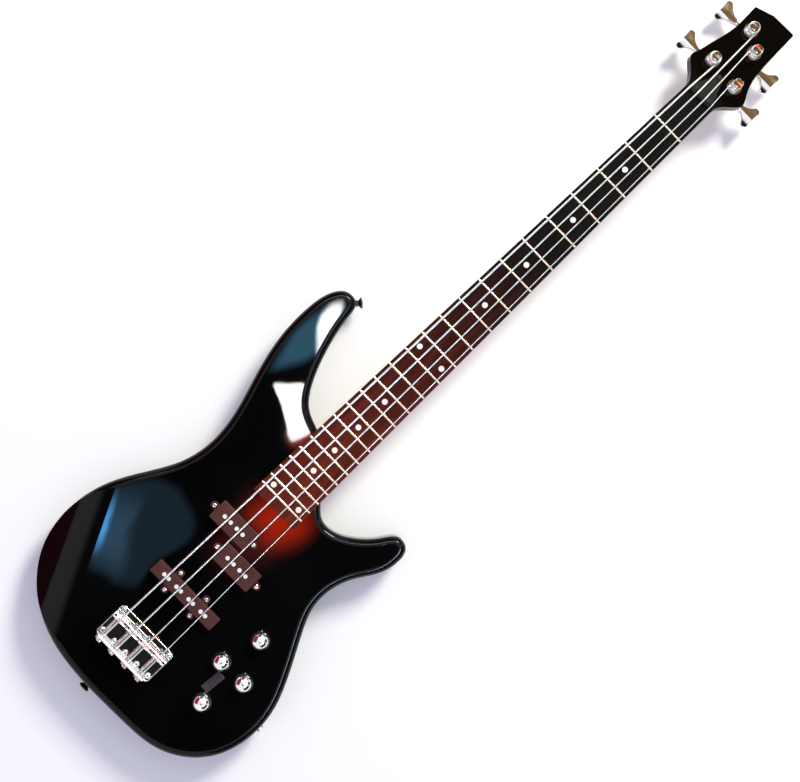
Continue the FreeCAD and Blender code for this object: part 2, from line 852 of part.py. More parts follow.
def fret_solid(number):
    """A fret crown turned about the axis of the fretboard's round."""
    x = fret_x(number)
    base = board_top()
    half = S.fret_width / 2
    bow = Part.Arc(Vector(x - half, 0, base), Vector(x, 0, base + S.fret_height), Vector(x + half, 0, base))
    chord = Part.LineSegment(Vector(x + half, 0, base), Vector(x - half, 0, base))
    face = Part.Face(Part.Wire([bow.toShape(), chord.toShape()]))
    spread = math.degrees(math.asin((board_half(x) - FRET_END_INSET) / S.board_radius))
    axis = Vector(x, 0, base - S.board_radius)
    start = face.rotated(axis, Vector(1, 0, 0), -spread)
    return start.revolve(axis, Vector(1, 0, 0), 2 * spread)


def make_nut():
    """The slotted nut, its top rounded like the fretboard and about level with the strings' middles."""
    half = board_half(S.scale_length)
    rise = S.fret_height + S.lift_nut + NUT_GRIP
    height = S.board_thickness + rise
    block = Part.makeBox(S.nut_thickness, 2 * half, height, Vector(S.scale_length, -half, neck_top()))
    crown = Part.makeCylinder(S.board_radius + rise, S.nut_thickness + 2,
                              Vector(S.scale_length - 1, 0, board_top() - S.board_radius), Vector(1, 0, 0))
    slots = [string_tube(index, S.fit_gap, nut_only=True) for index in range(len(STRING_NAMES))]
    piece("nut", shaped("nut", block.common(crown).cut(slots)))


# Truss rod under the fretboard, its nut and its cover
def make_truss_rod():
    near = board_end() + S.truss_inset
    far = S.scale_length + S.nut_thickness + S.truss_end
    piece("truss_rod", cylinder("truss_rod", "Sizes.truss_radius", f"{far - near}",
                                pointing((near, 0, truss_z()), (1, 0, 0))))
    ring = [(S.truss_nut_radius * math.cos(math.radians(a)), S.truss_nut_radius * math.sin(math.radians(a)))
            for a in range(0, 360, 60)]
    hexagon = extruded("truss_hexagon", segments(ring), "0 * Sizes.truss_radius", "Sizes.truss_nut_length")
    bore = cylinder("truss_nut_bore", "Sizes.truss_radius + Sizes.fit_gap", "2 * Sizes.truss_nut_length",
                    at(0, 0, -1))
    nut = cut("truss_rod_nut", hexagon, [bore])
    nut.Placement = pointing((far - S.truss_nut_length - 1, 0, truss_z()), (1, 0, 0))
    piece("truss_rod_nut", nut)


def make_truss_cover():
    """The bell-shaped cover over the truss nut, on the headstock's face."""
    bass = Part.BSplineCurve()
    bass.interpolate([Vector(x, y, 0) for x, y in TRUSS_COVER_EDGE])
    treble = Part.BSplineCurve()
    treble.interpolate([Vector(x, -y, 0) for x, y in reversed(TRUSS_COVER_EDGE)])
    x, y = TRUSS_COVER_EDGE[-1]
    cap = Part.Arc(Vector(x, y, 0), Vector(x + y, 0, 0), Vector(x, -y, 0))
    x, y = TRUSS_COVER_EDGE[0]
    base = Part.LineSegment(Vector(x, -y, 0), Vector(x, y, 0))
    plate = extruded("truss_cover_plate", [bass, cap, treble, base], "0 * Sizes.cover_thickness",
                     "Sizes.cover_thickness")
    holes = [cylinder(f"truss_cover_hole_{n}", "Sizes.screw_radius + Sizes.fit_gap",
                      "3 * Sizes.cover_thickness", at(x, y, -1))
             for n, (x, y) in enumerate(TRUSS_COVER_SCREWS, start=1)]
    cover = cut("truss_rod_cover", plate, holes)
    cover.Placement = head_place(0, 0)
    piece("truss_rod_cover", cover)


# Strings: ball end, saddle, nut, then turns round the post, as one unbroken tube
def tangent_angle(point, centre, radius, side):
    """Angle on a circle where a line from an outside point touches it, on one side."""
    dx = point[0] - centre[0]
    dy = point[1] - centre[1]
    return math.atan2(dy, dx) + side * math.acos(radius / math.hypot(dx, dy))


def bent_edge(start, heading, end):
    """A circular arc that leaves a point along a heading and reaches another point."""
    chord = end - start
    angle = heading.getAngle(chord)
    if angle < 1e-7:
        return Part.LineSegment(start, end).toShape()
    across = heading - chord * (heading.dot(chord) / chord.dot(chord))
    across.normalize()
    middle = start + chord * 0.5 + across * (chord.Length / 2 * math.tan(angle / 2))
    return Part.Arc(start, middle, end).toShape()


def biarc(start, heading, end, leaving):
    """Two arcs that join two points with given headings."""
    gap = end - start
    both = heading + leaving
    bend = 2 * (1 - heading.dot(leaving))
    reach = (-gap.dot(both) + math.sqrt(gap.dot(both) ** 2 + bend * gap.dot(gap))) / bend
    joint = (start + heading * reach + end - leaving * reach) * 0.5
    first = bent_edge(start, heading, joint)
    second = bent_edge(end, leaving * -1, joint)
    return [first, second]


def winding_radius(index):
    return S.post_radius + S.winding_gap + gauge(index) / 2


def winding_points(index, nut_place):
    """Quarter points of a string's turns on its post with their headings, from the nut's side up."""
    along, across = POST_PLACES[index]
    side = 1 if across > 0 else -1
    radius = winding_radius(index)
    pitch = gauge(index) + S.turn_gap
    origin = head_point(0, 0)
    tilt = math.radians(S.head_tilt)
    flat = nut_place - origin
    nut_along = flat.x * math.cos(tilt) - flat.z * math.sin(tilt)
    start = tangent_angle((nut_along, nut_place.y), (along, across), radius, side)
    height = S.winding_base + gauge(index) / 2
    quarters = round(WINDING_TURNS[index] * 4)
    places = []
    for step in range(quarters + 1):
        angle = start + side * step * math.pi / 2
        level = height + pitch * step / 4
        place = head_point(along + radius * math.cos(angle), across + radius * math.sin(angle), level)
        ahead = head_point(-side * radius * math.sin(angle), side * radius * math.cos(angle),
                           pitch / (2 * math.pi)) - origin
        ahead.normalize()
        places.append((place, ahead))
    return places


def string_edges(index):
    """The centre line of a string, from its ball end to the top turn on its post."""
    radius = S.saddle_radius + S.fit_gap + gauge(index) / 2
    centre = (0, saddle_centre_z(index))
    rear = (-S.bridge_rear - S.ball_radius * 0.8, string_hole_z())
    nut_x = S.scale_length + S.nut_thickness / 2
    nut = Vector(nut_x, string_y(index, nut_x), string_z(index, nut_x))

    def point(x, z):
        return Vector(x, string_y(index, x), z)

    up = tangent_angle(rear, centre, radius, -1) + 2 * math.pi
    over = tangent_angle((nut.x, nut.z), centre, radius, 1)
    on_saddle = [point(radius * math.cos(a), centre[1] + radius * math.sin(a))
                 for a in (up, (up + over) / 2, over)]
    turns = winding_points(index, nut)
    before = nut - on_saddle[2]
    after = turns[0][0] - nut
    before.normalize()
    after.normalize()
    trim = NUT_BEND * math.tan(before.getAngle(after) / 2)
    bend_in = nut - before * trim
    bend_out = nut + after * trim
    edges = [Part.LineSegment(point(*rear), on_saddle[0]).toShape(),
             Part.Arc(*on_saddle).toShape(),
             Part.LineSegment(on_saddle[2], bend_in).toShape(),
             bent_edge(bend_in, before, bend_out),
             Part.LineSegment(bend_out, turns[0][0]).toShape()]
    here, heading = turns[0][0], after
    for place, ahead in turns[1:]:
        edges += biarc(here, heading, place, ahead)
        here, heading = place, ahead
    return edges


def string_tube(index, grow=0.0, nut_only=False):
    """A string as a tube, or only the stretch over the nut, a little fatter, for its slot."""
    edges = string_edges(index)
    radius = gauge(index) / 2 + grow
    if nut_only:
        long_run, bend, next_run = edges[2:5]
        reach = S.nut_thickness
        start = bend.firstVertex().Point
        end = bend.lastVertex().Point
        before = (start - long_run.firstVertex().Point).normalize()
        after = (next_run.lastVertex().Point - end).normalize()
        edges = [Part.LineSegment(start - before * reach, start).toShape(), bend,
                 Part.LineSegment(end, end + after * reach).toShape()]
    path = Part.Wire(Part.__sortEdges__(edges))
    first = edges[0]
    start = first.firstVertex().Point
    heading = (first.lastVertex().Point - start).normalize()
    ring = Part.Wire(Part.makeCircle(radius, start, heading))
    tube = path.makePipeShell([ring], True, False)
    expected = math.pi * radius ** 2 * path.Length
    if abs(tube.Volume - expected) > 0.01 * expected:
        raise RuntimeError(f"string {index} has volume {tube.Volume:.1f}, not {expected:.1f}")
    return tube


def string_hole_z():
    return S.body_thickness + S.bridge_plate + S.string_hole_height


def print_turn_gap(index):
    """Print the least gap between the turns of a string, measured on points."""
    turns = string_edges(index)[5:]
    per_arc = 12
    points = [p for edge in turns for p in edge.discretize(per_arc + 1)[:-1]]
    half_turn = 4 * per_arc
    least = min((a - b).Length for i, a in enumerate(points) for b in points[i + half_turn:])
    print(f"string_{STRING_NAMES[index]}: least gap between turns {least - gauge(index):.2f} mm")


def make_strings():
    for index, name in enumerate(STRING_NAMES):
        tube = string_tube(index)
        start = string_edges(index)[0].firstVertex().Point
        ball = Part.makeSphere(S.ball_radius, start - Vector(S.ball_radius / 2, 0, 0))
        piece(f"string_{name}", shaped(f"string_{name}", tube.fuse(ball)))
        print_turn_gap(index)


# Bridge: plate with a rim and a rear wall, four saddles and their intonation screws
def bridge_screw_places():
    rear = [(-BRIDGE_SCREW_REAR, BRIDGE_SCREW_EDGE * share) for share in (1, 0.5, 0, -0.5, -1)]
    return rear + [(BRIDGE_SCREW_FRONT, BRIDGE_SCREW_EDGE * share) for share in (1, -1)]


def intonation_y(index):
    return string_y(index, 0) + S.intonation_offset


def rounded_block(name, block, radius):
    """A block with every edge of its top rounded."""
    doc.recompute()
    top = block.Shape.BoundBox.ZMax
    rounding = doc.addObject("Part::Fillet", name)
    rounding.Base = block
    rounding.Edges = [(i, radius, radius) for i, edge in enumerate(block.Shape.Edges, start=1)
                      if edge.BoundBox.ZMin > top - radius / 2]
    return rounding


def bridge_outline(inset):
    length = S.bridge_front + S.bridge_rear
    middle = (S.bridge_front - S.bridge_rear) / 2
    return rounded_rectangle(middle, 0, length - 2 * inset, S.bridge_width - 2 * inset,
                             S.bridge_corner - inset)


def bridge_blank():
    """The plate in its thin raised rim, with the rear wall that holds the ball ends."""
    tray = extruded("bridge_tray", bridge_outline(0), "Sizes.body_thickness",
                    "Sizes.bridge_plate + Sizes.bridge_rim_height")
    well = extruded("bridge_well", bridge_outline(S.bridge_rim), "Sizes.body_thickness + Sizes.bridge_plate",
                    "2 * Sizes.bridge_rim_height")
    wall = doc.addObject("Part::Box", "bridge_back_wall")
    bind(wall, {"Length": "Sizes.bridge_wall", "Height": "Sizes.bridge_wall_height",
                "Width": "Sizes.bridge_width - 2 * Sizes.bridge_corner"})
    wall.Placement = at(-S.bridge_rear, S.bridge_corner - S.bridge_width / 2, S.body_thickness)
    rim = rounded_block("bridge_rim", cut("bridge_floor", tray, [well]), S.bridge_rim_round)
    return joined("bridge_blank", [rim, rounded_block("bridge_wall", wall, S.bridge_wall_round)])


def make_bridge():
    holes = []
    for n, (x, y) in enumerate(bridge_screw_places(), start=1):
        holes.append(cylinder(f"bridge_hole_{n}", "Sizes.screw_radius + Sizes.free_gap + Sizes.fit_gap",
                              "3 * Sizes.bridge_plate", at(x, y, S.body_thickness - 1)))
    rear = -S.bridge_rear - 1
    for index, name in enumerate(STRING_NAMES):
        ball = (rear, string_y(index, rear), string_hole_z() + S.string_hole_radius / 3)
        screw = (rear, intonation_y(index), saddle_centre_z(index))
        holes.append(cylinder(f"string_hole_{name}", "Sizes.string_hole_radius", "Sizes.bridge_wall + 2",
                              pointing(ball, (1, 0, 0))))
        holes.append(cylinder(f"intonation_hole_{name}", "Sizes.screw_radius + Sizes.fit_gap",
                              "Sizes.bridge_wall + 2", pointing(screw, (1, 0, 0))))
    piece("bridge_plate", cut("bridge_plate", bridge_blank(), holes))
    group("bridge_screws", [wood_screw(f"bridge_screw_{n}", x, y) for n, (x, y)
                            in enumerate(bridge_screw_places(), start=1)])


def wood_screw(name, x, y):
    """A raised-head screw through the bridge plate into the wood."""
    head = BRIDGE_SCREW_HEAD
    shank = S.screw_radius + S.free_gap
    profile = ((0, head * 0.65), (head * 0.6, head * 0.53), (head, head * 0.18), (head, 0), (shank, 0),
               (shank, -S.bridge_plate), (0, -S.bridge_plate))
    return turned(name, profile, at(x, y, S.body_thickness + S.bridge_plate))


def make_saddle(index):
    """A barrel saddle standing on two grub screws."""
    name = STRING_NAMES[index]
    centre = Vector(0, string_y(index, 0), saddle_centre_z(index))
    barrel = cylinder(f"barrel_{name}", "Sizes.saddle_radius", "Sizes.saddle_length",
                      pointing(centre - Vector(0, S.saddle_length / 2, 0), (0, 1, 0)))
    floor = S.body_thickness + S.bridge_plate + S.fit_gap
    tall = centre.z + S.saddle_radius - S.grub_sunk - floor
    grubs = []
    holes = [cylinder(f"thread_{name}", "Sizes.screw_radius + Sizes.fit_gap", "4 * Sizes.saddle_radius",
                      pointing((-2 * S.saddle_radius, intonation_y(index), centre.z), (1, 0, 0)))]
    for side in (1, -1):
        y = centre.y + side * (S.saddle_length / 2 - S.grub_inset)
        grubs.append(cylinder(f"grub_{name}_{side + 1}", "Sizes.grub_radius", f"{tall}", at(0, y, floor)))
        holes.append(cylinder(f"grub_hole_{name}_{side + 1}", "Sizes.grub_radius + Sizes.fit_gap",
                              "4 * Sizes.saddle_radius", at(0, y, centre.z - 2 * S.saddle_radius)))
    group(f"saddle_{name}", [cut(f"drilled_barrel_{name}", barrel, holes)] + grubs)


def make_intonation_screw(index):
    """The screw through the rear wall that sets how far forward a saddle stands."""
    name = STRING_NAMES[index]
    head = SADDLE_SCREW_HEAD
    back = -SADDLE_SCREW_HEAD_HEIGHT
    reach = S.bridge_rear + 3 * S.saddle_radius / 2
    profile = ((0, back), (head, back), (head, -S.fit_gap), (S.screw_radius, -S.fit_gap),
               (S.screw_radius, reach), (0, reach))
    place = pointing((-S.bridge_rear, intonation_y(index), saddle_centre_z(index)), (1, 0, 0))
    piece(f"intonation_screw_{name}", turned(f"intonation_screw_{name}", profile, place))


# Pickups
def pickup(label, x, y, width, length, ears, poles):
    """A moulded cover with screw ears, its round pole pieces and its height screws."""
    low = S.body_thickness - S.pickup_sunk
    ear_top = S.body_thickness + EAR_PROUD
    block = extruded(f"{label}_block", pickup_outline(x, y, width, length, 0),
                     "Sizes.body_thickness - Sizes.pickup_sunk", "Sizes.pickup_sunk + Sizes.pickup_stand")
    forms = [rounded_block(f"{label}_rounded", block, S.pickup_round)]
    holes = []
    rods = []
    screws = []
    for n, ear in enumerate(ears, start=1):
        forms.append(extruded(f"{label}_ear_{n}", ear_outline(ear, 0),
                              f"Sizes.body_thickness + {EAR_PROUD} - Sizes.ear_thickness",
                              "Sizes.ear_thickness"))
        holes.append(cylinder(f"{label}_ear_hole_{n}", "Sizes.screw_radius + Sizes.free_gap",
                              "3 * Sizes.ear_thickness", at(ear[0], ear[1], ear_top - 2 * S.ear_thickness)))
        screws.append(round_screw(f"{label}_screw_{n}", S.pickup_screw_length, at(ear[0], ear[1], ear_top)))
    for n, (px, py) in enumerate(poles, start=1):
        holes.append(cylinder(f"{label}_pole_hole_{n}", "Sizes.pole_radius + Sizes.press_gap",
                              "2 * (Sizes.pickup_sunk + Sizes.pickup_stand)", at(px, py, low - 1)))
        rods.append(cylinder(f"{label}_pole_{n}", "Sizes.pole_radius",
                             "Sizes.pickup_sunk + Sizes.pickup_stand + Sizes.pole_proud", at(px, py, low)))
    piece(f"{label}_cover", cut(f"{label}_cover", joined(f"{label}_blank", forms), holes))
    group(f"{label}_poles", rods)
    group(f"{label}_screws", screws)


def round_screw(name, length, placement):
    """A round-headed screw whose head rests on the face that it stands on."""
    r = S.screw_radius
    head = r + SCREW_HEAD_OVER
    crown = SCREW_HEAD_HEIGHT
    profile = ((0, crown), (head * 0.6, crown * 0.85), (head, crown * 0.3), (head, 0), (r, 0), (r, -length),
               (0, -length))
    return turned(name, profile, placement)


def flat_screw_section(grow, top, tip):
    """Section of a countersunk screw through the control cover, or of its hole, from the inner face out."""
    r = S.screw_radius + grow
    head = r + SCREW_HEAD_OVER
    seat = S.plate_thickness - FLAT_HEAD_RIM
    return ((0, top), (head, top), (head, seat), (r, seat - SCREW_HEAD_OVER), (r, tip), (0, tip))


def cover_screw_seats():
    return [pointing((x, y, S.plate_thickness), (0, 0, -1)) for x, y in cover_screw_places()]


def make_pickups():
    for label, (x, y) in zip(("split_pickup_bass", "split_pickup_treble"), split_places()):
        poles = [(x, y + S.split_pole_step * share) for share in STRING_STEPS]
        pickup(label, x, y, S.split_width, S.split_length, split_ears(x, y), poles)
    x = single_x()
    poles = [(x, string_y(index, x) + side * S.single_pole_pair)
             for index in range(len(STRING_NAMES)) for side in (1, -1)]
    pickup("single_pickup", x, 0, S.single_width, S.single_length, single_ears(), poles)


def make_small_screws():
    """Screws of the truss rod cover and of the control cover, which is on the back."""
    truss = [head_place(along, across, S.cover_thickness) for along, across in TRUSS_COVER_SCREWS]
    screws = [round_screw(f"truss_cover_screw_{n}", S.cover_thickness + SMALL_SCREW_LENGTH - 1, place)
              for n, place in enumerate(truss, start=1)]
    section = flat_screw_section(0, S.plate_thickness - S.fit_gap, 1 - SMALL_SCREW_LENGTH)
    screws += [turned(f"control_cover_screw_{n}", section, place)
               for n, place in enumerate(cover_screw_seats(), start=1)]
    group("cover_screws", screws)


# Controls: knobs on potentiometer shafts, and what the cavity holds
def bushing_thread_radius():
    return S.shaft_radius + 1


def cavity_ceiling():
    return S.body_thickness - S.cavity_roof


def pot_profile():
    """Section of a potentiometer: can, thread through the top and nut, bored for its shaft."""
    bore = S.shaft_radius + S.fit_gap
    thread = bushing_thread_radius()
    nut = thread + S.pot_floor
    roof = S.cavity_roof
    nut_top = roof + S.pot_nut_height
    tip = nut_top + S.pot_floor
    floor = S.pot_floor - S.pot_height
    return ((bore, floor), (bore, tip), (thread, tip), (thread, nut_top), (nut, nut_top), (nut, roof),
            (thread, roof), (thread, 0), (S.pot_radius, 0), (S.pot_radius, -S.pot_height), (0, -S.pot_height),
            (0, floor))


def make_controls():
    pots = []
    start = cavity_ceiling() + S.pot_floor - S.pot_height + S.fit_gap
    shaft_top = S.body_thickness + S.knob_height - S.knob_cap
    for number, (x, y, _) in enumerate(knob_places(), start=1):
        pots.append(turned(f"pot_{number}", pot_profile(), at(x, y, cavity_ceiling())))
        shaft = cylinder(f"pot_shaft_{number}", "Sizes.shaft_radius", f"{shaft_top - S.fit_gap - start}",
                         at(x, y, start))
        piece(f"pot_shaft_{number}", shaft)
        piece(f"knob_{number}", revolved(f"knob_{number}", knob_section(), at(x, y, S.body_thickness)))
    group("potentiometers", pots)


def knob_section():
    """Section of a domed metal knob, hollow over the nut and bored for its shaft."""
    r = S.knob_radius
    top = S.knob_height
    skirt = S.knob_skirt
    foot = S.free_gap + S.press_gap
    hollow = bushing_thread_radius() + S.pot_floor + S.free_gap
    bore = S.shaft_radius + S.press_gap
    rise = top - skirt
    dome_radius = (r ** 2 + rise ** 2) / (2 * rise)
    half = math.asin(r / dome_radius) / 2
    shoulder = Vector(dome_radius * math.sin(half), top - dome_radius * (1 - math.cos(half)), 0)
    dome = Part.Arc(Vector(r, skirt, 0), shoulder, Vector(0, top, 0))
    inside = ((0, top), (0, top - S.knob_cap), (bore, top - S.knob_cap), (bore, skirt), (hollow, skirt),
              (hollow, foot), (r, foot), (r, skirt))
    return [dome] + lines(inside)


def make_cavity():
    plate = extruded("control_plate", cover_outline(S.cavity_lip), BACK, "Sizes.plate_thickness")
    section = flat_screw_section(S.fit_gap, 2 * S.plate_thickness, -S.plate_thickness)
    holes = [turned(f"cover_hole_{n}", section, place)
             for n, place in enumerate(cover_screw_seats(), start=1)]
    piece("control_cover", cut("control_cover", plate, holes))
    battery = doc.addObject("Part::Box", "battery")
    bind(battery, {"Length": "Sizes.battery_width", "Width": "Sizes.battery_length",
                   "Height": "Sizes.battery_height"})
    corner = cavity_centre() + Vector(*BATTERY_CORNER, S.plate_thickness)
    battery.Placement = Placement(corner, Rotation())
    piece("battery", battery)
    make_circuit()


def make_circuit():
    """The preamp board under the cavity's roof, between the potentiometers."""
    left = knob_places()[3]
    right = knob_places()[1]
    width = right.x - left.x - 2 * (S.pot_radius + S.circuit_clear)
    outline = rounded_rectangle((left.x + right.x) / 2, cavity_centre().y, width, S.circuit_length,
                                S.circuit_thickness)
    piece("preamp_board", extruded("preamp_board", outline,
                                   "Sizes.body_thickness - Sizes.cavity_roof - Sizes.circuit_thickness",
                                   "Sizes.circuit_thickness"))


def make_jack():
    """A barrel jack through the side of the body, with its flange outside."""
    inner = jack_reach() + S.flange_thickness
    bore = S.plug_radius
    rim = S.jack_radius + S.jack_flange
    profile = ((bore, -inner), (bore, S.flange_thickness), (rim, S.flange_thickness), (rim, S.fit_gap),
               (S.jack_radius, S.fit_gap), (S.jack_radius, -inner))
    place = pointing(jack_place() + UP * (S.body_thickness / 2), (0, -1, 0))
    piece("output_jack", turned("output_jack", profile, place))


# Fasteners of the neck and the strap
def make_neck_bolts():
    """Countersunk bolts from the back, each in a ring let into the wood."""
    r = S.bolt_radius
    head = 2 * r
    sunk = FLAT_HEAD_RIM
    cone_end = sunk + 0.8 * r
    tip = neck_top() - S.bolt_cover
    bolt = ((0, sunk), (head, sunk), (r, cone_end), (r, tip), (0, tip))
    hole = r + S.fit_gap
    mouth = head + S.fit_gap
    deep = S.plate_thickness
    ring = ((mouth, 0), (S.ferrule_radius, 0), (S.ferrule_radius, deep), (hole, deep), (hole, cone_end),
            (mouth, sunk))
    places = [at(x, y, 0) for x, y in BOLT_PLACES]
    group("neck_bolts", [turned(f"neck_bolt_{n}", bolt, place) for n, place in enumerate(places, start=1)])
    group("neck_ferrules", [turned(f"ferrule_{n}", ring, place) for n, place in enumerate(places, start=1)])


def make_strap_buttons():
    r = S.button_radius
    length = S.button_length
    hole = S.button_hole + S.fit_gap
    foot = 0.65 * r
    waist = 0.52 * r
    lip = 0.2 * length
    button = ((hole, 0), (foot, 0), (foot, 0.1 * length), (waist, 0.22 * length), (waist, 0.4 * length),
              (r, length - lip), (r, length), (hole + lip, length), (hole, length - lip))
    shank = S.button_hole
    end = -S.strap_screw_length
    head = shank + lip
    screw = ((0, end), (shank, end), (shank, length - lip), (head, length), (0.9 * head, length + 0.08 * r),
             (0, length + 0.14 * r))
    buttons = []
    screws = []
    for n, (x, y) in enumerate((TAIL_BUTTON, HORN_BUTTON), start=1):
        place, outward = on_outline(x, y)
        spot = pointing(place + UP * (S.body_thickness / 2), outward)
        buttons.append(turned(f"strap_button_{n}", button, spot))
        screws.append(turned(f"strap_screw_{n}", screw, spot))
    group("strap_buttons", buttons)
    group("strap_screws", screws)


# Tuners: sealed housing behind the headstock, bushing in front, post and key
def tuner_turn(index):
    return 90 if POST_PLACES[index][1] > 0 else -90


def tuner_place(index):
    """The tuner's own frame: on the headstock's back, X along its key, Z up its post."""
    along, across = POST_PLACES[index]
    return head_place(along, across, -S.head_thickness, tuner_turn(index))


def bushing_profile():
    """Section of the bushing that lines the headstock's hole, with its flange on the face."""
    face = S.head_thickness
    bore = S.post_shaft + S.fit_gap
    flange = S.bushing_radius + S.bushing_flange
    flange_top = face + S.flange_thickness
    return ((bore, S.free_gap), (S.bushing_radius, S.free_gap), (S.bushing_radius, face), (flange, face),
            (flange, flange_top), (bore, flange_top))


def post_profile():
    """Section of a string post: shaft, collar, waist for the turns and a lip at the top."""
    r = S.post_radius
    foot = S.head_thickness + S.flange_thickness + 2 * S.fit_gap
    collar = S.head_thickness + 2 * S.flange_thickness
    top = S.head_thickness + S.post_height
    return ((0, -S.post_sunk), (S.post_shaft, -S.post_sunk), (S.post_shaft, foot), (r + 1, foot),
            (r + 1, collar), (r, collar + 1.2), (r, top - 3.5), (r + 0.8, top - 1.5), (r + 0.8, top - 0.6),
            (r + 0.2, top), (0, top))


def make_post(index):
    """A post with a slot across its top for the string's end."""
    name = STRING_NAMES[index]
    place = tuner_place(index)
    blank = turned(f"post_blank_{name}", post_profile(), place)
    width = gauge(index) + S.free_gap
    slot = doc.addObject("Part::Box", f"post_slot_{name}")
    slot.Width = width
    bind(slot, {"Length": "4 * Sizes.post_radius", "Height": "2 * Sizes.post_slot_depth"})
    floor = S.head_thickness + S.post_height - S.post_slot_depth
    slot.Placement = place.multiply(at(-2 * S.post_radius, -width / 2, floor))
    piece(f"tuner_post_{name}", cut(f"tuner_post_{name}", blank, [slot]))


def make_housing(index):
    """The sealed case of the worm gear on the headstock's back."""
    name = STRING_NAMES[index]
    outline = rounded_rectangle(0, -0.5, S.housing_width, S.housing_length, S.housing_corner)
    case = extruded(f"case_{name}", outline, "-Sizes.housing_height", "Sizes.housing_height")
    seat = cylinder(f"post_seat_{name}", "Sizes.post_shaft + Sizes.fit_gap", "2 * Sizes.post_sunk",
                    at(0, 0, -S.post_sunk - S.fit_gap))
    bore = cylinder(f"worm_bore_{name}", "Sizes.worm_radius + Sizes.fit_gap", "Sizes.housing_width",
                    pointing((-KEY_INNER_END - 2 * S.fit_gap, KEY_OFFSET, -KEY_DROP), (1, 0, 0)))
    housing = cut(f"housing_{name}", case, [seat, bore])
    housing.Placement = tuner_place(index)
    return housing


def key_outline():
    """Edges of the two-lobed grip about its axis, every arc tangent to the next."""
    root = Vector(KEY_COLLAR_END - 1, KEY_NECK, 0)
    lobe = Vector(S.key_reach - KEY_LOBE, S.key_width / 2 - KEY_LOBE, 0)
    run = lobe - root
    flank = (run.x ** 2 + run.y ** 2 - KEY_LOBE ** 2) / (2 * (run.y + KEY_LOBE))
    flank_centre = root + Vector(0, flank, 0)
    end_centre = Vector(lobe.x + math.sqrt((KEY_NOTCH + KEY_LOBE) ** 2 - lobe.y ** 2), 0, 0)
    to_lobe = (lobe - flank_centre).normalize()
    to_notch = (end_centre - lobe).normalize()
    flank_end = flank_centre + to_lobe * flank
    lobe_end = lobe + to_notch * KEY_LOBE
    flank_middle = flank_centre + ((to_lobe + Vector(0, -1, 0)) * 0.5).normalize() * flank
    lobe_middle = lobe + ((to_notch - to_lobe) * 0.5).normalize() * KEY_LOBE
    if lobe_middle.x < lobe.x:
        lobe_middle = lobe * 2 - lobe_middle

    def mirrored(point):
        return Vector(point.x, -point.y, 0)

    arcs = [Part.Arc(root, flank_middle, flank_end), Part.Arc(flank_end, lobe_middle, lobe_end)]
    notch = Part.Arc(lobe_end, Vector(end_centre.x - KEY_NOTCH, 0, 0), mirrored(lobe_end))
    back = [Part.Arc(mirrored(lobe_end), mirrored(lobe_middle), mirrored(flank_end)),
            Part.Arc(mirrored(flank_end), mirrored(flank_middle), mirrored(root))]
    base = Part.LineSegment(mirrored(root), root)
    return [curve.toShape() for curve in arcs + [notch] + back + [base]]


def grip_solid():
    """The grip about its own axis: both faces bulge, and every rim is rounded."""
    half = S.key_thickness / 2
    slab = Part.Face(Part.Wire(key_outline())).extrude(UP * S.key_thickness)
    slab.translate(UP * -half)
    for way in (1, -1):
        centre = UP * (way * (half - S.key_bulge))
        roll = Part.makeCylinder(S.key_bulge, 2 * S.key_reach, centre, Vector(1, 0, 0))
        slab = slab.common(roll)
    upright = [edge for edge in slab.Edges if edge.BoundBox.XLength < 0.1 and edge.BoundBox.YLength < 0.1]
    base = [edge for edge in slab.Edges if edge.BoundBox.XMax < KEY_COLLAR_END]
    kept = [edge.hashCode() for edge in upright + base]
    return slab.makeFillet(S.key_round, [edge for edge in slab.Edges if edge.hashCode() not in kept])


def key_shape():
    """A key: shaft, collar and a broad flared grip, about the worm's axis."""
    axis = Vector(0, KEY_OFFSET, -KEY_DROP)
    along = Vector(1, 0, 0)
    shaft = Part.makeCylinder(S.worm_radius, KEY_COLLAR_END + KEY_INNER_END,
                              axis - along * KEY_INNER_END, along)
    collar = Part.makeCylinder(KEY_COLLAR_RADIUS, KEY_COLLAR_END - KEY_COLLAR_START,
                               axis + along * KEY_COLLAR_START, along)
    return grip_solid().translated(axis).fuse([shaft, collar])


def make_tuners():
    housings = []
    bushings = []
    for index, name in enumerate(STRING_NAMES):
        make_post(index)
        housings.append(make_housing(index))
        bushings.append(turned(f"bushing_{name}", bushing_profile(), tuner_place(index)))
        piece(f"tuner_key_{name}", shaped(f"tuner_key_{name}", key_shape(), tuner_place(index)))
    group("tuner_housings", housings)
    group("tuner_bushings", bushings)


def write_parts():
    """Check every object, then write one file for each sub-part."""
    doc.recompute()
    for obj in doc.Objects:
        if "Invalid" in obj.State or "Error" in obj.State:
            raise RuntimeError(f"{obj.Label} failed: {obj.State}")
    for label, obj in pieces.items():
        if obj.Shape.isNull() or not obj.Shape.isValid() or not obj.Shape.Solids:
            raise RuntimeError(f"{label} has no valid shape")
    os.makedirs("parts", exist_ok=True)
    for label, obj in pieces.items():
        obj.Shape.exportStep(f"parts/{label}.step")
    print(f"{len(pieces)} sub-parts written")


make_body()
make_neck()
make_board()
piece("frets", shaped("frets", Part.makeCompound([fret_solid(n) for n in range(1, FRET_COUNT + 1)])))
make_nut()
make_truss_rod()
make_truss_cover()
make_strings()
make_bridge()
for string_index in range(len(STRING_NAMES)):
    make_saddle(string_index)
    make_intonation_screw(string_index)
make_pickups()
make_controls()
make_cavity()
make_jack()
make_small_screws()
make_neck_bolts()
make_strap_buttons()
make_tuners()
write_parts()
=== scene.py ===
import json
import math

import bpy
from mathutils import Matrix, Vector


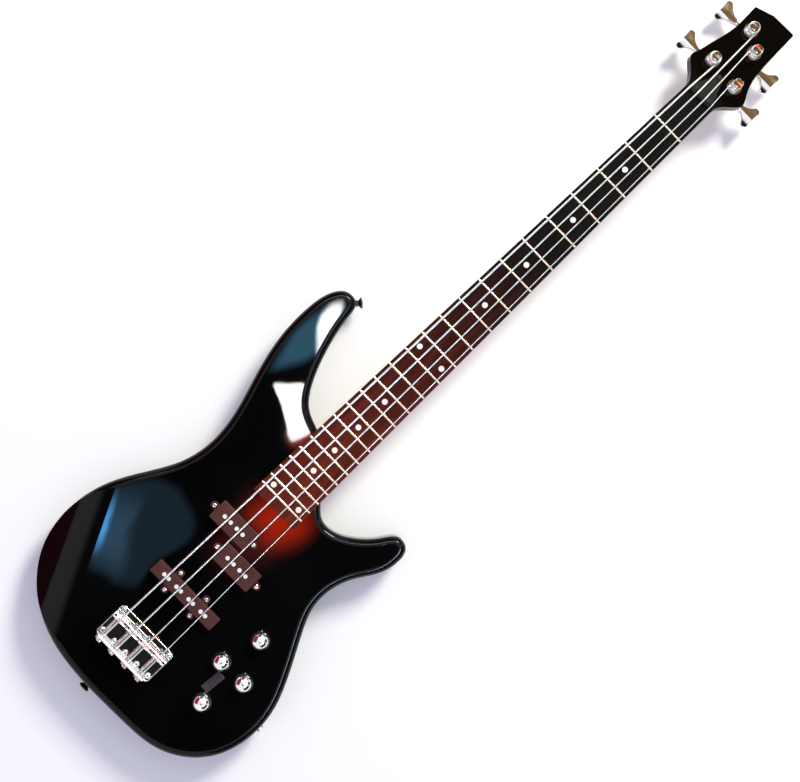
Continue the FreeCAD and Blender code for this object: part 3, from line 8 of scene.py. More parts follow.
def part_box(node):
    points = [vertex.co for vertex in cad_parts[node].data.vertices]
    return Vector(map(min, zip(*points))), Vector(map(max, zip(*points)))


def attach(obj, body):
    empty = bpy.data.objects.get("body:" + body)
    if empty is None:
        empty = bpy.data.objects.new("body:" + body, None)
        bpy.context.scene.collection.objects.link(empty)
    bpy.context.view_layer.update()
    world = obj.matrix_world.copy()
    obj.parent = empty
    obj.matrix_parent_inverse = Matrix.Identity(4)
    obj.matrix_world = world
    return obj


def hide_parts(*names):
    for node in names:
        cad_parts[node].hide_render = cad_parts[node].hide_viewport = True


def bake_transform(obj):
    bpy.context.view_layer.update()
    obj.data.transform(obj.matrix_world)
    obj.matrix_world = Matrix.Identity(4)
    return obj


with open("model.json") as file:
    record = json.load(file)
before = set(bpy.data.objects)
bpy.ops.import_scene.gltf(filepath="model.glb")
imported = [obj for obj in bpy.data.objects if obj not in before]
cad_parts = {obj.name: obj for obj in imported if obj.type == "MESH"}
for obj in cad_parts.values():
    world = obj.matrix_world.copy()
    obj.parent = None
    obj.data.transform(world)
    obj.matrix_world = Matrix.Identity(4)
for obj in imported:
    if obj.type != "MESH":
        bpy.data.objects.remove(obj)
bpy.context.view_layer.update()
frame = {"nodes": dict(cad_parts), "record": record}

NODES = frame["nodes"]
MM = 0.001
UP = Vector((0, 0, 1))
DOWN = Vector((0, 0, -1))

# Body, board and headstock, in metres, as the solids have them
SCALE = 0.8636
BODY_TOP = 0.040
NECK_PROUD = 0.0055
NECK_TOP = BODY_TOP + NECK_PROUD
BOARD_THICKNESS = 0.006
BOARD_TOP = NECK_TOP + BOARD_THICKNESS
FRET_HEIGHT = 0.0011
FRET_TOP = BOARD_TOP + FRET_HEIGHT
BOARD_RADIUS = 0.305
BOARD_END = 0.203
BOARD_WIDTH_AT_NUT = 0.041
BOARD_WIDTH_AT_END = 0.063
NUT_THICKNESS = 0.004
HEAD_TILT = math.radians(6.5)

# Bridge and tuner posts
BRIDGE_PLATE = 0.003
BRIDGE_REAR = 0.031
SADDLE_RADIUS = 0.004
SADDLE_SPACING = 0.0198
STRING_HOLE_HEIGHT = 0.0026
STRING_HOLE_Z = BODY_TOP + BRIDGE_PLATE + STRING_HOLE_HEIGHT
POST_PLACES = ((0.0415, 0.020), (0.0995, 0.0138), (0.0833, -0.0068), (0.0379, -0.0188))
POST_RADIUS = 0.0045
POST_HEIGHT = 0.017
POST_SLOT_DEPTH = 0.005

# Strings, from bass to treble
STRINGS = ("e", "a", "d", "g")
STRING_STEPS = (1.5, 0.5, -0.5, -1.5)
GAUGES = (0.0026, 0.00215, 0.00165, 0.00115)
STRING_SIDES = 14
WRAPS_PER_GAUGE = 4
NUT_SPACING = 0.0108
NUT_BEND = 0.020
LIFT_NUT = 0.0006
LIFT_BRIDGE = 0.0039
FIT_GAP = 0.00005
BALL_RADIUS = 0.0025
BALL_HALF_LENGTH = 0.0023
BALL_GROOVE = 0.8 * BALL_RADIUS
BALL_STANDOFF = 0.8 * BALL_RADIUS
WINDING_TURNS = (1.75, 2.25, 2.5, 3)
WINDING_GAP = 0.0003
WINDING_BASE = 0.0056
TURN_GAP = 0.0006
TAIL_SHARES = (0.8, 0.55, 0.3, 0.1)

# Screws
SHARP_ANGLE = 0.6
RECESS_TURN = 0.7
RECESS_REACH = 0.55
RECESS_LIMIT = 0.78
RECESS_OF_CROWN = 0.9
RECESS_OF_HEAD = 0.35
HEAD_PROFILE = ((1, 0), (1, 0.25), (0.94, 0.55), (0.8, 0.8))
SMALL_HEAD = 0.0029
SMALL_CROWN = 0.0018
SMALL_SHANK = 0.0015
FLAT_CROWN = 0.0003
BRIDGE_SCREW_REAR = -0.024
BRIDGE_SCREW_FRONT = 0.0076
BRIDGE_SCREW_SPREAD = 0.0354
PICKUP_SCREW_LENGTH = 0.020
EAR_PROUD = 0.001
SPLIT_PICKUPS = (("split_pickup_bass", 0.159, 0.0176), ("split_pickup_treble", 0.1293, -0.0176))
SPLIT_SCREW_REACH = 0.0308
SINGLE_PICKUP_X = 0.0673
SINGLE_SCREW_ALONG = 0.0123
SINGLE_SCREW_ACROSS = 0.0203
COVER_SCREW_LENGTH = 0.009
COVER_LIP = 0.003
FLAT_SCREW_LEVEL = 0.0003
TRUSS_COVER_TOP = 0.0022
TRUSS_SCREWS = ((0.0034, 0.010), (0.0034, -0.010), (0.032, 0))
NECK_BOLTS = ((0.214, 0.020), (0.214, -0.020), (0.270, 0.018), (0.238, -0.016))
NECK_BOLT_LEVEL = 0.0005

# Bare plate and side dots
PLATE_PLACE = Vector((0.0218, -0.0909, BODY_TOP))
PLATE_TURN = math.radians(-5)
PLATE_HALF_LENGTH = 0.0129
PLATE_HALF_WIDTH = 0.0053
PLATE_RINGS = ((0, 0.0001), (0, 0.0006), (0.0004, 0.0009))
MARKED_FRETS = (3, 5, 7, 9, 12, 15, 17, 19, 21, 24)
OCTAVES = (12, 24)
DOT_SPREAD = 0.004
DOT_LEVEL = 0.003
DOT_RADIUS = 0.001
DOT_FACE = 0.00085
DOT_PROUD = 0.00004
DOT_SUNK = 0.0001


# Node building blocks, for a material or the world
def add_node(tree, kind, settings=None, **inputs):
    """A shader node with its settings, and its inputs set or linked."""
    made = tree.nodes.new("ShaderNode" + kind)
    for key, value in (settings or {}).items():
        setattr(made, key, value)
    for key, value in inputs.items():
        socket = made.inputs[key.replace("_", " ")]
        if isinstance(value, bpy.types.NodeSocket):
            tree.links.new(value, socket)
        else:
            socket.default_value = value
    return made


def place_of(owner, stretch=(1, 1, 1), output="Object", offset=(0, 0, 0)):
    """Coordinates, in metres on a piece, stretched along each axis and then moved."""
    coords = add_node(owner.node_tree, "TexCoord")
    mapping = add_node(owner.node_tree, "Mapping", Vector=coords.outputs[output], Scale=stretch,
                       Location=offset)
    return mapping.outputs["Vector"]


def noise(owner, place, scale, detail=3.0, distortion=0.0):
    made = add_node(owner.node_tree, "TexNoise", Vector=place, Scale=scale, Detail=detail,
                    Distortion=distortion)
    return made.outputs["Fac"]


def ramp(owner, factor, stops):
    """Colours, or greys, along a factor."""
    made = add_node(owner.node_tree, "ValToRGB", Fac=factor)
    elements = made.color_ramp.elements
    while len(elements) < len(stops):
        elements.new(0.5)
    for element, (position, colour) in zip(elements, stops):
        element.position = position
        if not isinstance(colour, tuple):
            colour = (colour, colour, colour)
        element.color = (*colour, 1)
    return made.outputs["Color"]


def mixed(owner, factor, first, second):
    """A mix of two colours, each a value or a socket, by a factor from a socket."""
    tree = owner.node_tree
    made = add_node(tree, "Mix", {"data_type": "RGBA"})
    tree.links.new(factor, made.inputs[0])
    for index, colour in ((6, first), (7, second)):
        if isinstance(colour, bpy.types.NodeSocket):
            tree.links.new(colour, made.inputs[index])
        else:
            made.inputs[index].default_value = (*colour, 1)
    return made.outputs[2]


def math_node(owner, operation, first, second):
    made = add_node(owner.node_tree, "Math", {"operation": operation})
    for index, value in enumerate((first, second)):
        if isinstance(value, bpy.types.NodeSocket):
            owner.node_tree.links.new(value, made.inputs[index])
        else:
            made.inputs[index].default_value = value
    return made.outputs[0]


def part_of(owner, vector, axis):
    """One axis of a vector."""
    return add_node(owner.node_tree, "SeparateXYZ", Vector=vector).outputs[axis]


def seen_ray(owner):
    """One for rays from the camera, from mirrors and through glass, nought for the rest."""
    path = add_node(owner.node_tree, "LightPath").outputs
    seen = math_node(owner, "MAXIMUM", path["Is Camera Ray"], path["Is Glossy Ray"])
    return math_node(owner, "MAXIMUM", seen, path["Is Transmission Ray"])


# Material building blocks
def shader_of(material):
    return material.node_tree.nodes["Principled BSDF"]


def make_material(name, colour, roughness, metallic=0.0, **sockets):
    """A material whose shader has these values on its own sockets."""
    material = bpy.data.materials.new(name)
    material.use_nodes = True
    inputs = shader_of(material).inputs
    inputs["Base Color"].default_value = (*colour, 1)
    inputs["Roughness"].default_value = roughness
    inputs["Metallic"].default_value = metallic
    for socket, value in sockets.items():
        inputs[socket.replace("_", " ")].default_value = value
    return material


def feed(material, socket, source):
    material.node_tree.links.new(source, shader_of(material).inputs[socket])


def bump(material, height, strength, distance):
    made = add_node(material.node_tree, "Bump", Height=height, Strength=strength, Distance=distance)
    feed(material, "Normal", made.outputs["Normal"])


# Finishes
LACQUER_GLOSS = 0.2
LACQUER_BLACK = (0.001, 0.001, 0.0012)
HEAD_UNDERSIDE = -0.3
# Along the board: painted warm light up to the first of these, painted shade from the second on
BOARD_WARM_LIGHT_TO = 0.24
BOARD_SHADE_FROM = 0.64
CHROME = (0.93, 0.93, 0.94)


def lacquer():
    """Gloss black lacquer: a faint orange peel and a few polishing marks."""
    material = make_material("body_lacquer", (0.003, 0.003, 0.0035), 0.03, Specular_IOR_Level=LACQUER_GLOSS)
    place = place_of(material)
    depth = noise(material, place, scale=9.0, detail=2.0)
    feed(material, "Base Color", ramp(material, depth, (
        (0.3, LACQUER_BLACK), (0.7, (0.0022, 0.0022, 0.0026)))))
    marks = noise(material, place, scale=14.0, detail=4.0)
    feed(material, "Roughness", ramp(material, marks, ((0.35, 0.012), (0.8, 0.035))))
    peel = noise(material, place, scale=90.0, detail=1.0)
    bump(material, peel, strength=0.012, distance=0.0003)
    return material


def wood_grain(material, stretch, scale, stops):
    """Long streaks of wood with finer fibres in them."""
    place = place_of(material, stretch)
    streaks = noise(material, place, scale, detail=8.0, distortion=0.6)
    return ramp(material, streaks, stops), noise(material, place, scale * 7)


def headstock_share(material):
    """One on the headstock's face and sides, nought on its underside and on the neck."""
    normal = add_node(material.node_tree, "NewGeometry").outputs["True Normal"]
    own_space = {"vector_type": "NORMAL", "convert_from": "WORLD", "convert_to": "OBJECT"}
    own_normal = add_node(material.node_tree, "VectorTransform", own_space, Vector=normal).outputs["Vector"]
    up = part_of(material, own_normal, "Z")
    along = part_of(material, place_of(material), "X")
    face = math_node(material, "GREATER_THAN", up, HEAD_UNDERSIDE)
    past_nut = math_node(material, "GREATER_THAN", along, SCALE + NUT_THICKNESS)
    return math_node(material, "MULTIPLY", face, past_nut)


def neck_wood():
    """Satin maple, with the headstock's face and sides in black lacquer."""
    material = make_material("neck_maple", (0.55, 0.36, 0.18), 0.35, Specular_IOR_Level=LACQUER_GLOSS)
    colour, fibres = wood_grain(material, (2.2, 30, 30), 3.0, (
        (0.28, (0.40, 0.235, 0.10)), (0.5, (0.56, 0.36, 0.175)), (0.75, (0.66, 0.46, 0.25))))
    black = headstock_share(material)
    feed(material, "Base Color", mixed(material, black, colour, LACQUER_BLACK))
    sheen = ramp(material, fibres, ((0.2, 0.28), (0.8, 0.42)))
    feed(material, "Roughness", mixed(material, black, sheen, (0.05, 0.05, 0.05)))
    bump(material, fibres, strength=0.05, distance=0.0002)
    return material


def rosewood():
    """Oiled rosewood: dark streaks and open pores along the board, with painted warm light making it redder
    towards the body and painted shade making it near black towards the nut.
    """
    material = make_material("rosewood", (0.1, 0.03, 0.02), 0.4, Specular_IOR_Level=0.05)
    stretch = (5, 60, 60)
    scale = 2.2
    # The red streaks are the board under painted warm light, the dark ones below are the board under painted
    # shade
    red, fibres = wood_grain(material, stretch, scale, (
        (0.25, (0.048, 0.0062, 0.0030)), (0.5, (0.105, 0.0135, 0.0065)), (0.72, (0.17, 0.026, 0.012))))
    dark, pores = wood_grain(material, stretch, scale, (
        (0.25, (0.002, 0.0014, 0.0014)), (0.5, (0.004, 0.0024, 0.002)), (0.72, (0.008, 0.0045, 0.004))))
    # Painted light and shade along the board: red near the body, fading to near black towards the nut
    along = part_of(material, place_of(material), "X")
    fade = add_node(material.node_tree, "MapRange", {"interpolation_type": "SMOOTHSTEP"}, Value=along,
                    From_Min=BOARD_WARM_LIGHT_TO, From_Max=BOARD_SHADE_FROM).outputs["Result"]
    feed(material, "Base Color", mixed(material, fade, red, dark))
    feed(material, "Roughness", ramp(material, fibres, ((0.3, 0.32), (0.7, 0.52))))
    bump(material, pores, strength=0.12, distance=0.0003)
    return material


def pearl():
    """Mother of pearl: pale clouds under a polish."""
    material = make_material("pearl", (0.85, 0.84, 0.8), 0.18)
    clouds = noise(material, place_of(material), scale=380.0, detail=4.0, distortion=1.5)
    feed(material, "Base Color", ramp(material, clouds, (
        (0.3, (0.80, 0.78, 0.74)), (0.5, (0.90, 0.90, 0.87)), (0.7, (0.86, 0.90, 0.90)))))
    feed(material, "Roughness", ramp(material, clouds, ((0.2, 0.12), (0.8, 0.3))))
    return material


def metal(name, colour, rough, smooth, stretch=(1, 1, 1), scale=160.0, relief=0.02):
    """Plated or polished metal with fine marks in its polish."""
    material = make_material(name, colour, rough, 1.0)
    place = place_of(material, stretch)
    marks = noise(material, place, scale, detail=5.0)
    feed(material, "Roughness", ramp(material, marks, ((0.3, smooth), (0.75, rough))))
    dull = tuple(channel * 0.88 for channel in colour)
    clouds = noise(material, place, scale * 0.2)
    feed(material, "Base Color", ramp(material, clouds, ((0.3, dull), (0.6, colour))))
    bump(material, marks, relief, distance=0.0001)
    return material


def string_metal():
    """Nickel wire wound round a core: ridges along the string's own length, with painted shade in the grooves
    between the turns.
    """
    material = make_material("string_metal", (0.9, 0.89, 0.87), 0.25, 1.0)
    coords = add_node(material.node_tree, "TexCoord").outputs["UV"]
    bands = {"wave_type": "BANDS", "bands_direction": "X", "wave_profile": "SIN"}
    wound = add_node(material.node_tree, "TexWave", bands, Vector=coords, Scale=0.32).outputs["Fac"]
    # Darker colour in the grooves between the turns is painted shade
    feed(material, "Base Color", ramp(material, wound, (
        (0.1, (0.74, 0.73, 0.71)), (0.6, (0.88, 0.87, 0.84)))))
    marks = noise(material, coords, scale=3.0, detail=4.0)
    feed(material, "Roughness", ramp(material, marks, ((0.3, 0.26), (0.7, 0.4))))
    bump(material, wound, strength=0.1, distance=0.0001)
    return material


def plastic(name, low, high, rough, smooth, gloss=0.5):
    """Moulded plastic with a fine skin and slightly uneven colour."""
    material = make_material(name, high, rough, Specular_IOR_Level=gloss)
    place = place_of(material)
    skin = noise(material, place, scale=900.0, detail=2.0)
    clouds = noise(material, place, scale=40.0)
    feed(material, "Base Color", ramp(material, clouds, ((0.3, low), (0.7, high))))
    feed(material, "Roughness", ramp(material, skin, ((0.3, smooth), (0.7, rough))))
    bump(material, skin, strength=0.04, distance=0.0001)
    return material


def circuit_board():
    """Green solder mask with paler tracks."""
    material = plastic("circuit_board", (0.02, 0.12, 0.05), (0.03, 0.16, 0.07), rough=0.4, smooth=0.3)
    tracks = add_node(material.node_tree, "TexBrick", Vector=place_of(material), Scale=160.0,
                      Mortar_Size=0.04, Color1=(0.02, 0.12, 0.05, 1), Color2=(0.025, 0.14, 0.06, 1),
                      Mortar=(0.09, 0.28, 0.12, 1))
    feed(material, "Base Color", tracks.outputs["Color"])
    return material


def pole_steel():
    """Ends of the magnets: ground steel, pale from any side."""
    material = metal("pole_steel", (0.95, 0.93, 0.9), rough=0.6, smooth=0.45, scale=700.0)
    shader_of(material).inputs["Metallic"].default_value = 0.1
    shader_of(material).inputs["Specular IOR Level"].default_value = 0.1
    return material


def battery_wrap():
    """A plain wrapper with a dark and a copper band."""
    material = make_material("battery_case", (0.05, 0.05, 0.06), 0.35, 0.3)
    across = part_of(material, place_of(material), "Y")
    low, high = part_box("battery")
    share = add_node(material.node_tree, "MapRange", Value=across, From_Min=low.y, From_Max=high.y)
    feed(material, "Base Color", ramp(material, share.outputs["Result"], (
        (0.66, (0.03, 0.03, 0.035)), (0.68, (0.42, 0.2, 0.08)))))
    return material


LOOKS = {
    "body_lacquer": lacquer(),
    "neck_maple": neck_wood(),
    "rosewood": rosewood(),
    "pearl": pearl(),
    "fret_metal": metal("fret_metal", (0.88, 0.77, 0.66), rough=0.3, smooth=0.16, stretch=(1, 8, 1)),
    "black_plastic": plastic("black_plastic", (0.003, 0.003, 0.0035), (0.006, 0.006, 0.007),
                             rough=0.3, smooth=0.2, gloss=0.15),
    "pickup_plastic": plastic("pickup_plastic", (0.075, 0.030, 0.027), (0.11, 0.045, 0.040),
                              rough=0.42, smooth=0.3, gloss=0.03),
    "chrome": metal("chrome", CHROME, rough=0.045, smooth=0.015, relief=0.003),
    "steel": metal("steel", (0.78, 0.77, 0.75), rough=0.32, smooth=0.2, stretch=(1, 1, 6)),
    "string_metal": string_metal(),
    "black_screw": metal("black_screw", (0.05, 0.05, 0.055), rough=0.38, smooth=0.25),
    "can_metal": metal("can_metal", (0.7, 0.7, 0.69), rough=0.4, smooth=0.3, stretch=(1, 1, 8)),
    "battery_case": battery_wrap(),
    "circuit_board": circuit_board(),
}
POLES = pole_steel()
KNOB_CHROME = metal("knob_chrome", CHROME, rough=0.17, smooth=0.13, relief=0.003)
NICKEL = metal("nickel", (0.88, 0.80, 0.77), rough=0.22, smooth=0.12)
PLATE = plastic("bare_plate", (0.03, 0.018, 0.028), (0.05, 0.03, 0.045), rough=0.35, smooth=0.22)


def dress_nodes():
    """Give every carried-over node the finish of its slot, with finishes of their own for poles and knobs."""
    for part in frame["record"]["subparts"]:
        node = NODES[part["node"]]
        finish = LOOKS[part["material_slot"]]
        if part["node"].endswith("_poles"):
            finish = POLES
        if part["node"].startswith("knob_"):
            finish = KNOB_CHROME
        node.data.materials.clear()
        node.data.materials.append(finish)


# Mesh building blocks
def add_object(name, data):
    made = bpy.data.objects.new(name, data)
    bpy.context.scene.collection.objects.link(made)
    return made


def add_piece(name, points, faces, slot, body, finish=None, smooth=True):
    """A new piece from points in the row frame, riding on a body if one is given."""
    mesh = bpy.data.meshes.new(name)
    mesh.from_pydata([tuple(point) for point in points], [], faces)
    mesh.validate()
    if smooth:
        mesh.polygons.foreach_set("use_smooth", [True] * len(mesh.polygons))
    mesh.materials.append(finish or LOOKS[slot])
    piece = add_object(name, mesh)
    if body:
        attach(piece, body)
    return piece


def smooth_by_angle(piece):
    """Smooth shading, with sharp edges where faces meet steeply."""
    mesh = piece.data
    mesh.polygons.foreach_set("use_smooth", [True] * len(mesh.polygons))
    mesh.set_sharp_from_angle(angle=SHARP_ANGLE)


def ring_faces(rows, count):
    """Quads between neighbouring closed rings of points."""
    faces = []
    for row in range(rows - 1):
        start = row * count
        for step in range(count):
            after = (step + 1) % count
            faces.append((start + step, start + after, start + count + after, start + count + step))
    return faces


def closed_faces(rows, count):
    """Quads between rings, with a face over the first ring and one over the last."""
    last = (rows - 1) * count
    return ring_faces(rows, count) + [tuple(reversed(range(count))), tuple(range(last, last + count))]


def circle_angles(steps):
    return [2 * math.pi * step / steps for step in range(steps)]


def tube(points, radius, sides):
    """Points and faces of a closed tube along a line, with the distance along it at each ring."""
    heading = (points[1] - points[0]).normalized()
    side = heading.orthogonal().normalized()
    places = []
    lengths = []
    length = 0.0
    for number, point in enumerate(points):
        ahead = points[min(number + 1, len(points) - 1)] - points[max(number - 1, 0)]
        ahead.normalize()
        side = (side - ahead * side.dot(ahead)).normalized()
        other = ahead.cross(side)
        if number:
            length += (point - points[number - 1]).length
        lengths.append(length)
        places += [point + (side * math.cos(a) + other * math.sin(a)) * radius for a in circle_angles(sides)]
    return places, closed_faces(len(points), sides), lengths


def lathe(profile, steps):
    """Points and faces of a turned form about its own Z axis, from (radius, height) pairs."""
    places = []
    for radius, height in profile:
        places += [Vector((radius * math.cos(a), radius * math.sin(a), height)) for a in circle_angles(steps)]
    return places, ring_faces(len(profile), steps)


def pointing(place, direction):
    """A turn and move that lays the Z axis along a direction at a place."""
    return Matrix.Translation(place) @ direction.to_track_quat("Z", "Y").to_matrix().to_4x4()


def joined_copies(copies):
    """Points and faces of several forms in one, each given with its turn and move."""
    places = []
    faces = []
    for (form_points, form_faces), turn in copies:
        first = len(places)
        places += [turn @ point for point in form_points]
        faces += [tuple(first + corner for corner in face) for face in form_faces]
    return places, faces


# Strings
def board_drop(y):
    return BOARD_RADIUS - math.sqrt(BOARD_RADIUS ** 2 - y ** 2)


def string_y(index, x):
    return STRING_STEPS[index] * (SADDLE_SPACING + (NUT_SPACING - SADDLE_SPACING) * x / SCALE)


def string_z(index, x):
    lift = LIFT_BRIDGE + (LIFT_NUT - LIFT_BRIDGE) * x / SCALE
    return FRET_TOP + lift + GAUGES[index] / 2 - board_drop(string_y(index, x))


def head_point(along, across, height):
    """A point of the headstock: along its face from the nut, across it and above it."""
    x = SCALE + NUT_THICKNESS + along * math.cos(HEAD_TILT) + height * math.sin(HEAD_TILT)
    z = NECK_TOP - along * math.sin(HEAD_TILT) + height * math.cos(HEAD_TILT)
    return Vector((x, across, z))


def head_parts(gap):
    """How far a gap between two points goes along the headstock's face, across it and up from it."""
    along = gap.x * math.cos(HEAD_TILT) - gap.z * math.sin(HEAD_TILT)
    height = gap.x * math.sin(HEAD_TILT) + gap.z * math.cos(HEAD_TILT)
    return along, gap.y, height


def touch_angle(point, centre, radius, side):
    """Where a line from an outside point touches a circle, on one side."""
    gap = Vector(point) - Vector(centre)
    return math.atan2(gap.y, gap.x) + side * math.acos(radius / gap.length)


def saddle_points(index, nut):
    """From the ball end up and over the saddle."""
    radius = SADDLE_RADIUS + FIT_GAP + GAUGES[index] / 2
    centre = (0.0, string_z(index, 0) - radius)
    rear = (-BRIDGE_REAR - BALL_STANDOFF, STRING_HOLE_Z)
    up = touch_angle(rear, centre, radius, -1) + 2 * math.pi
    over = touch_angle((nut.x, nut.z), centre, radius, 1)
    steps = 10
    arc = [up + (over - up) * step / steps for step in range(steps + 1)]
    flat = [rear] + [(radius * math.cos(a), centre[1] + radius * math.sin(a)) for a in arc]
    return [Vector((x, string_y(index, x), z)) for x, z in flat]


def winding_radius(index):
    return POST_RADIUS + WINDING_GAP + GAUGES[index] / 2


def post_side(index):
    """Which way round its post a string goes: 1 on the bass side, -1 on the treble side."""
    return 1 if POST_PLACES[index][1] > 0 else -1


def round_post(index, angle, level, share=1.0):
    """A point of a string round its post, or at a share of the way out from the post's middle."""
    along, across = POST_PLACES[index]
    radius = share * winding_radius(index)
    return head_point(along + radius * math.cos(angle), across + radius * math.sin(angle), level)


def winding_points(index, nut):
    """The turns round the post, from the nut's side up."""
    side = post_side(index)
    nut_along, nut_across, _ = head_parts(nut - head_point(0, 0, 0))
    start = touch_angle((nut_along, nut_across), POST_PLACES[index], winding_radius(index), side)
    pitch = GAUGES[index] + TURN_GAP
    per_turn = 28
    places = []
    for step in range(round(WINDING_TURNS[index] * per_turn) + 1):
        angle = start + side * 2 * math.pi * step / per_turn
        level = WINDING_BASE + GAUGES[index] / 2 + pitch * step / per_turn
        places.append(round_post(index, angle, level))
    return places


def bend_points(before, corner, after, radius):
    """A rounded corner between two straight runs."""
    ahead = (corner - before).normalized()
    away = (after - corner).normalized()
    trim = radius * math.tan(ahead.angle(away) / 2)
    start = corner - ahead * trim
    end = corner + away * trim
    steps = 6
    curve = []
    for step in range(steps + 1):
        share = step / steps
        curve.append(start * (1 - share) ** 2 + corner * 2 * share * (1 - share) + end * share ** 2)
    return curve


def tail_points(index, last_turn):
    """The end of a string: on round to its post's slot, in to the middle and down."""
    gauge = GAUGES[index]
    side = post_side(index)
    out, across, level = head_parts(last_turn - head_point(*POST_PLACES[index], 0))
    start = math.atan2(across, out)
    sweep = (side * (math.pi / 2 - start)) % math.pi
    slot = POST_HEIGHT - POST_SLOT_DEPTH + gauge / 2 + FIT_GAP
    top = max(slot, level)
    steps = 12
    line = []
    for step in range(steps + 1):
        share = step / steps
        line.append(round_post(index, start + side * sweep * share, level + (top - level) * share ** 2))
    line += [round_post(index, start + side * sweep, top, share) for share in TAIL_SHARES]
    line.append(head_point(*POST_PLACES[index], slot - gauge / 2))
    return line


def add_wire(name, index, line, body):
    """A stretch of a string, with texture coordinates that count the turns of its winding wire."""
    gauge = GAUGES[index]
    places, faces, lengths = tube(line, gauge / 2, STRING_SIDES)
    piece = add_piece(name, places, faces, "string_metal", body)
    mesh = piece.data
    layer = mesh.uv_layers.new(name="along")
    wrap = gauge / WRAPS_PER_GAUGE
    for loop in mesh.loops:
        ring, step = divmod(loop.vertex_index, STRING_SIDES)
        layer.data[loop.index].uv = (lengths[ring] / wrap, step / STRING_SIDES)
    return piece


def add_run(name, index, line):
    """A run of a string on no body, fixed in place along X, in place of the string's own node."""
    piece = add_wire(name, index, line, None)
    smooth_by_angle(piece)
    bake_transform(piece)
    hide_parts(f"string_{STRINGS[index]}")


def add_ball_end(index, place):
    """The grooved barrel at a string's end."""
    half = BALL_HALF_LENGTH
    profile = ((0, -half), (BALL_RADIUS, -half), (BALL_RADIUS, -half / 2), (BALL_GROOVE, 0),
               (BALL_RADIUS, half / 2), (BALL_RADIUS, half), (0, half))
    turn = pointing(place - Vector((BALL_RADIUS / 2, 0, 0)), Vector((0, 1, 0)))
    places, faces = joined_copies([(lathe(profile, 24), turn)])
    add_piece(f"ball_end_{STRINGS[index]}", places, faces, "string_metal", "instrument", NICKEL, smooth=False)


def add_string(index):
    """One string in two runs that meet on its saddle, its ball end and its tail."""
    name = STRINGS[index]
    nut_x = SCALE + NUT_THICKNESS / 2
    nut = Vector((nut_x, string_y(index, nut_x), string_z(index, nut_x)))
    behind = saddle_points(index, nut)
    turns = winding_points(index, nut)
    front = behind[-1:] + bend_points(behind[-1], nut, turns[0], NUT_BEND) + turns
    add_run(f"string_behind_{name}", index, behind)
    add_run(f"wound_string_{name}", index, front)
    add_ball_end(index, behind[0])
    add_wire(f"string_tail_{name}", index, tail_points(index, turns[-1]), f"post_{name}")


def make_strings():
    for index in range(len(STRINGS)):
        add_string(index)


# Screws with their recesses
def cross_edge(angle, reach):
    """From the middle to the edge of a cross-shaped recess, at an angle."""
    fold = abs((angle + math.pi / 4) % (math.pi / 2) - math.pi / 4)
    half = reach * math.tan(math.pi / 12)
    rounding = 1e-9
    if math.tan(fold) <= half / reach + rounding:
        return reach / math.cos(fold)
    return half / math.sin(fold)


def screw_form(radius, crown, shank, length):
    """A screw along its own Z axis: shank below, domed head above, and a recess in the head."""
    steps = 48
    angles = circle_angles(steps)
    reach = RECESS_REACH * radius
    sunk = max(crown * RECESS_OF_CROWN, radius * RECESS_OF_HEAD)
    outside = [(shank, -length), (shank, 0)] + [(radius * out, crown * up) for out, up in HEAD_PROFILE]
    recess = ((1.06, crown), (1.0, crown * 0.97), (0.82, crown - sunk))
    places, _ = lathe(outside, steps)
    for share, height in recess:
        for a in angles:
            distance = min(share * cross_edge(a, reach), radius * RECESS_LIMIT)
            places.append(Vector((distance * math.cos(a), distance * math.sin(a), height)))
    return places, closed_faces(len(outside) + len(recess), steps)


def turned_copies(form, places, direction):
    """Like screws whose heads look one way, each with its recess turned further."""
    return [(form, pointing(Vector(place), direction) @ Matrix.Rotation(RECESS_TURN * number, 4, "Z"))
            for number, place in enumerate(places)]


def add_screws(name, copies, slot, body, node):
    """Several screws as one piece, in place of a node's plain ones."""
    places, faces = joined_copies(copies)
    piece = add_piece(name, places, faces, slot, body, smooth=False)
    smooth_by_angle(piece)
    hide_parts(node)


def make_bridge_screws():
    top = BODY_TOP + BRIDGE_PLATE
    places = [(BRIDGE_SCREW_REAR, BRIDGE_SCREW_SPREAD * share, top) for share in (1, 0.5, 0, -0.5, -1)]
    places += [(BRIDGE_SCREW_FRONT, BRIDGE_SCREW_SPREAD * side, top) for side in (1, -1)]
    form = screw_form(radius=0.0034, crown=0.0022, shank=0.0018, length=BRIDGE_PLATE)
    copies = turned_copies(form, places, UP)
    add_screws("bridge_cross_screws", copies, "chrome", "instrument", "bridge_screws")


def make_pickup_screws():
    form = screw_form(SMALL_HEAD, SMALL_CROWN, SMALL_SHANK, PICKUP_SCREW_LENGTH)
    level = BODY_TOP + EAR_PROUD
    places = {label: [(x, y + side * SPLIT_SCREW_REACH, level) for side in (1, -1)]
              for label, x, y in SPLIT_PICKUPS}
    rows = (SINGLE_PICKUP_X + SINGLE_SCREW_ALONG, SINGLE_PICKUP_X - SINGLE_SCREW_ALONG)
    places["single_pickup"] = [(x, side * SINGLE_SCREW_ACROSS, level) for x in rows for side in (1, -1)]
    for label, spots in places.items():
        copies = turned_copies(form, spots, UP)
        add_screws(f"{label}_cross_screws", copies, "chrome", label, f"{label}_screws")


def control_screw_places():
    """Two along each long edge of the control cover and one at each end."""
    low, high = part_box("control_cover")
    centre = (low + high) / 2
    half = (high - low) / 2
    out_x = half.x - COVER_LIP
    out_y = half.y - COVER_LIP
    third = (2 * half.x - 4 * COVER_LIP) / 3
    spots = [(way * third, side * out_y) for way in (1, -1) for side in (1, -1)] + [(out_x, 0), (-out_x, 0)]
    return [Vector((centre.x + x, centre.y + y, FLAT_SCREW_LEVEL)) for x, y in spots]


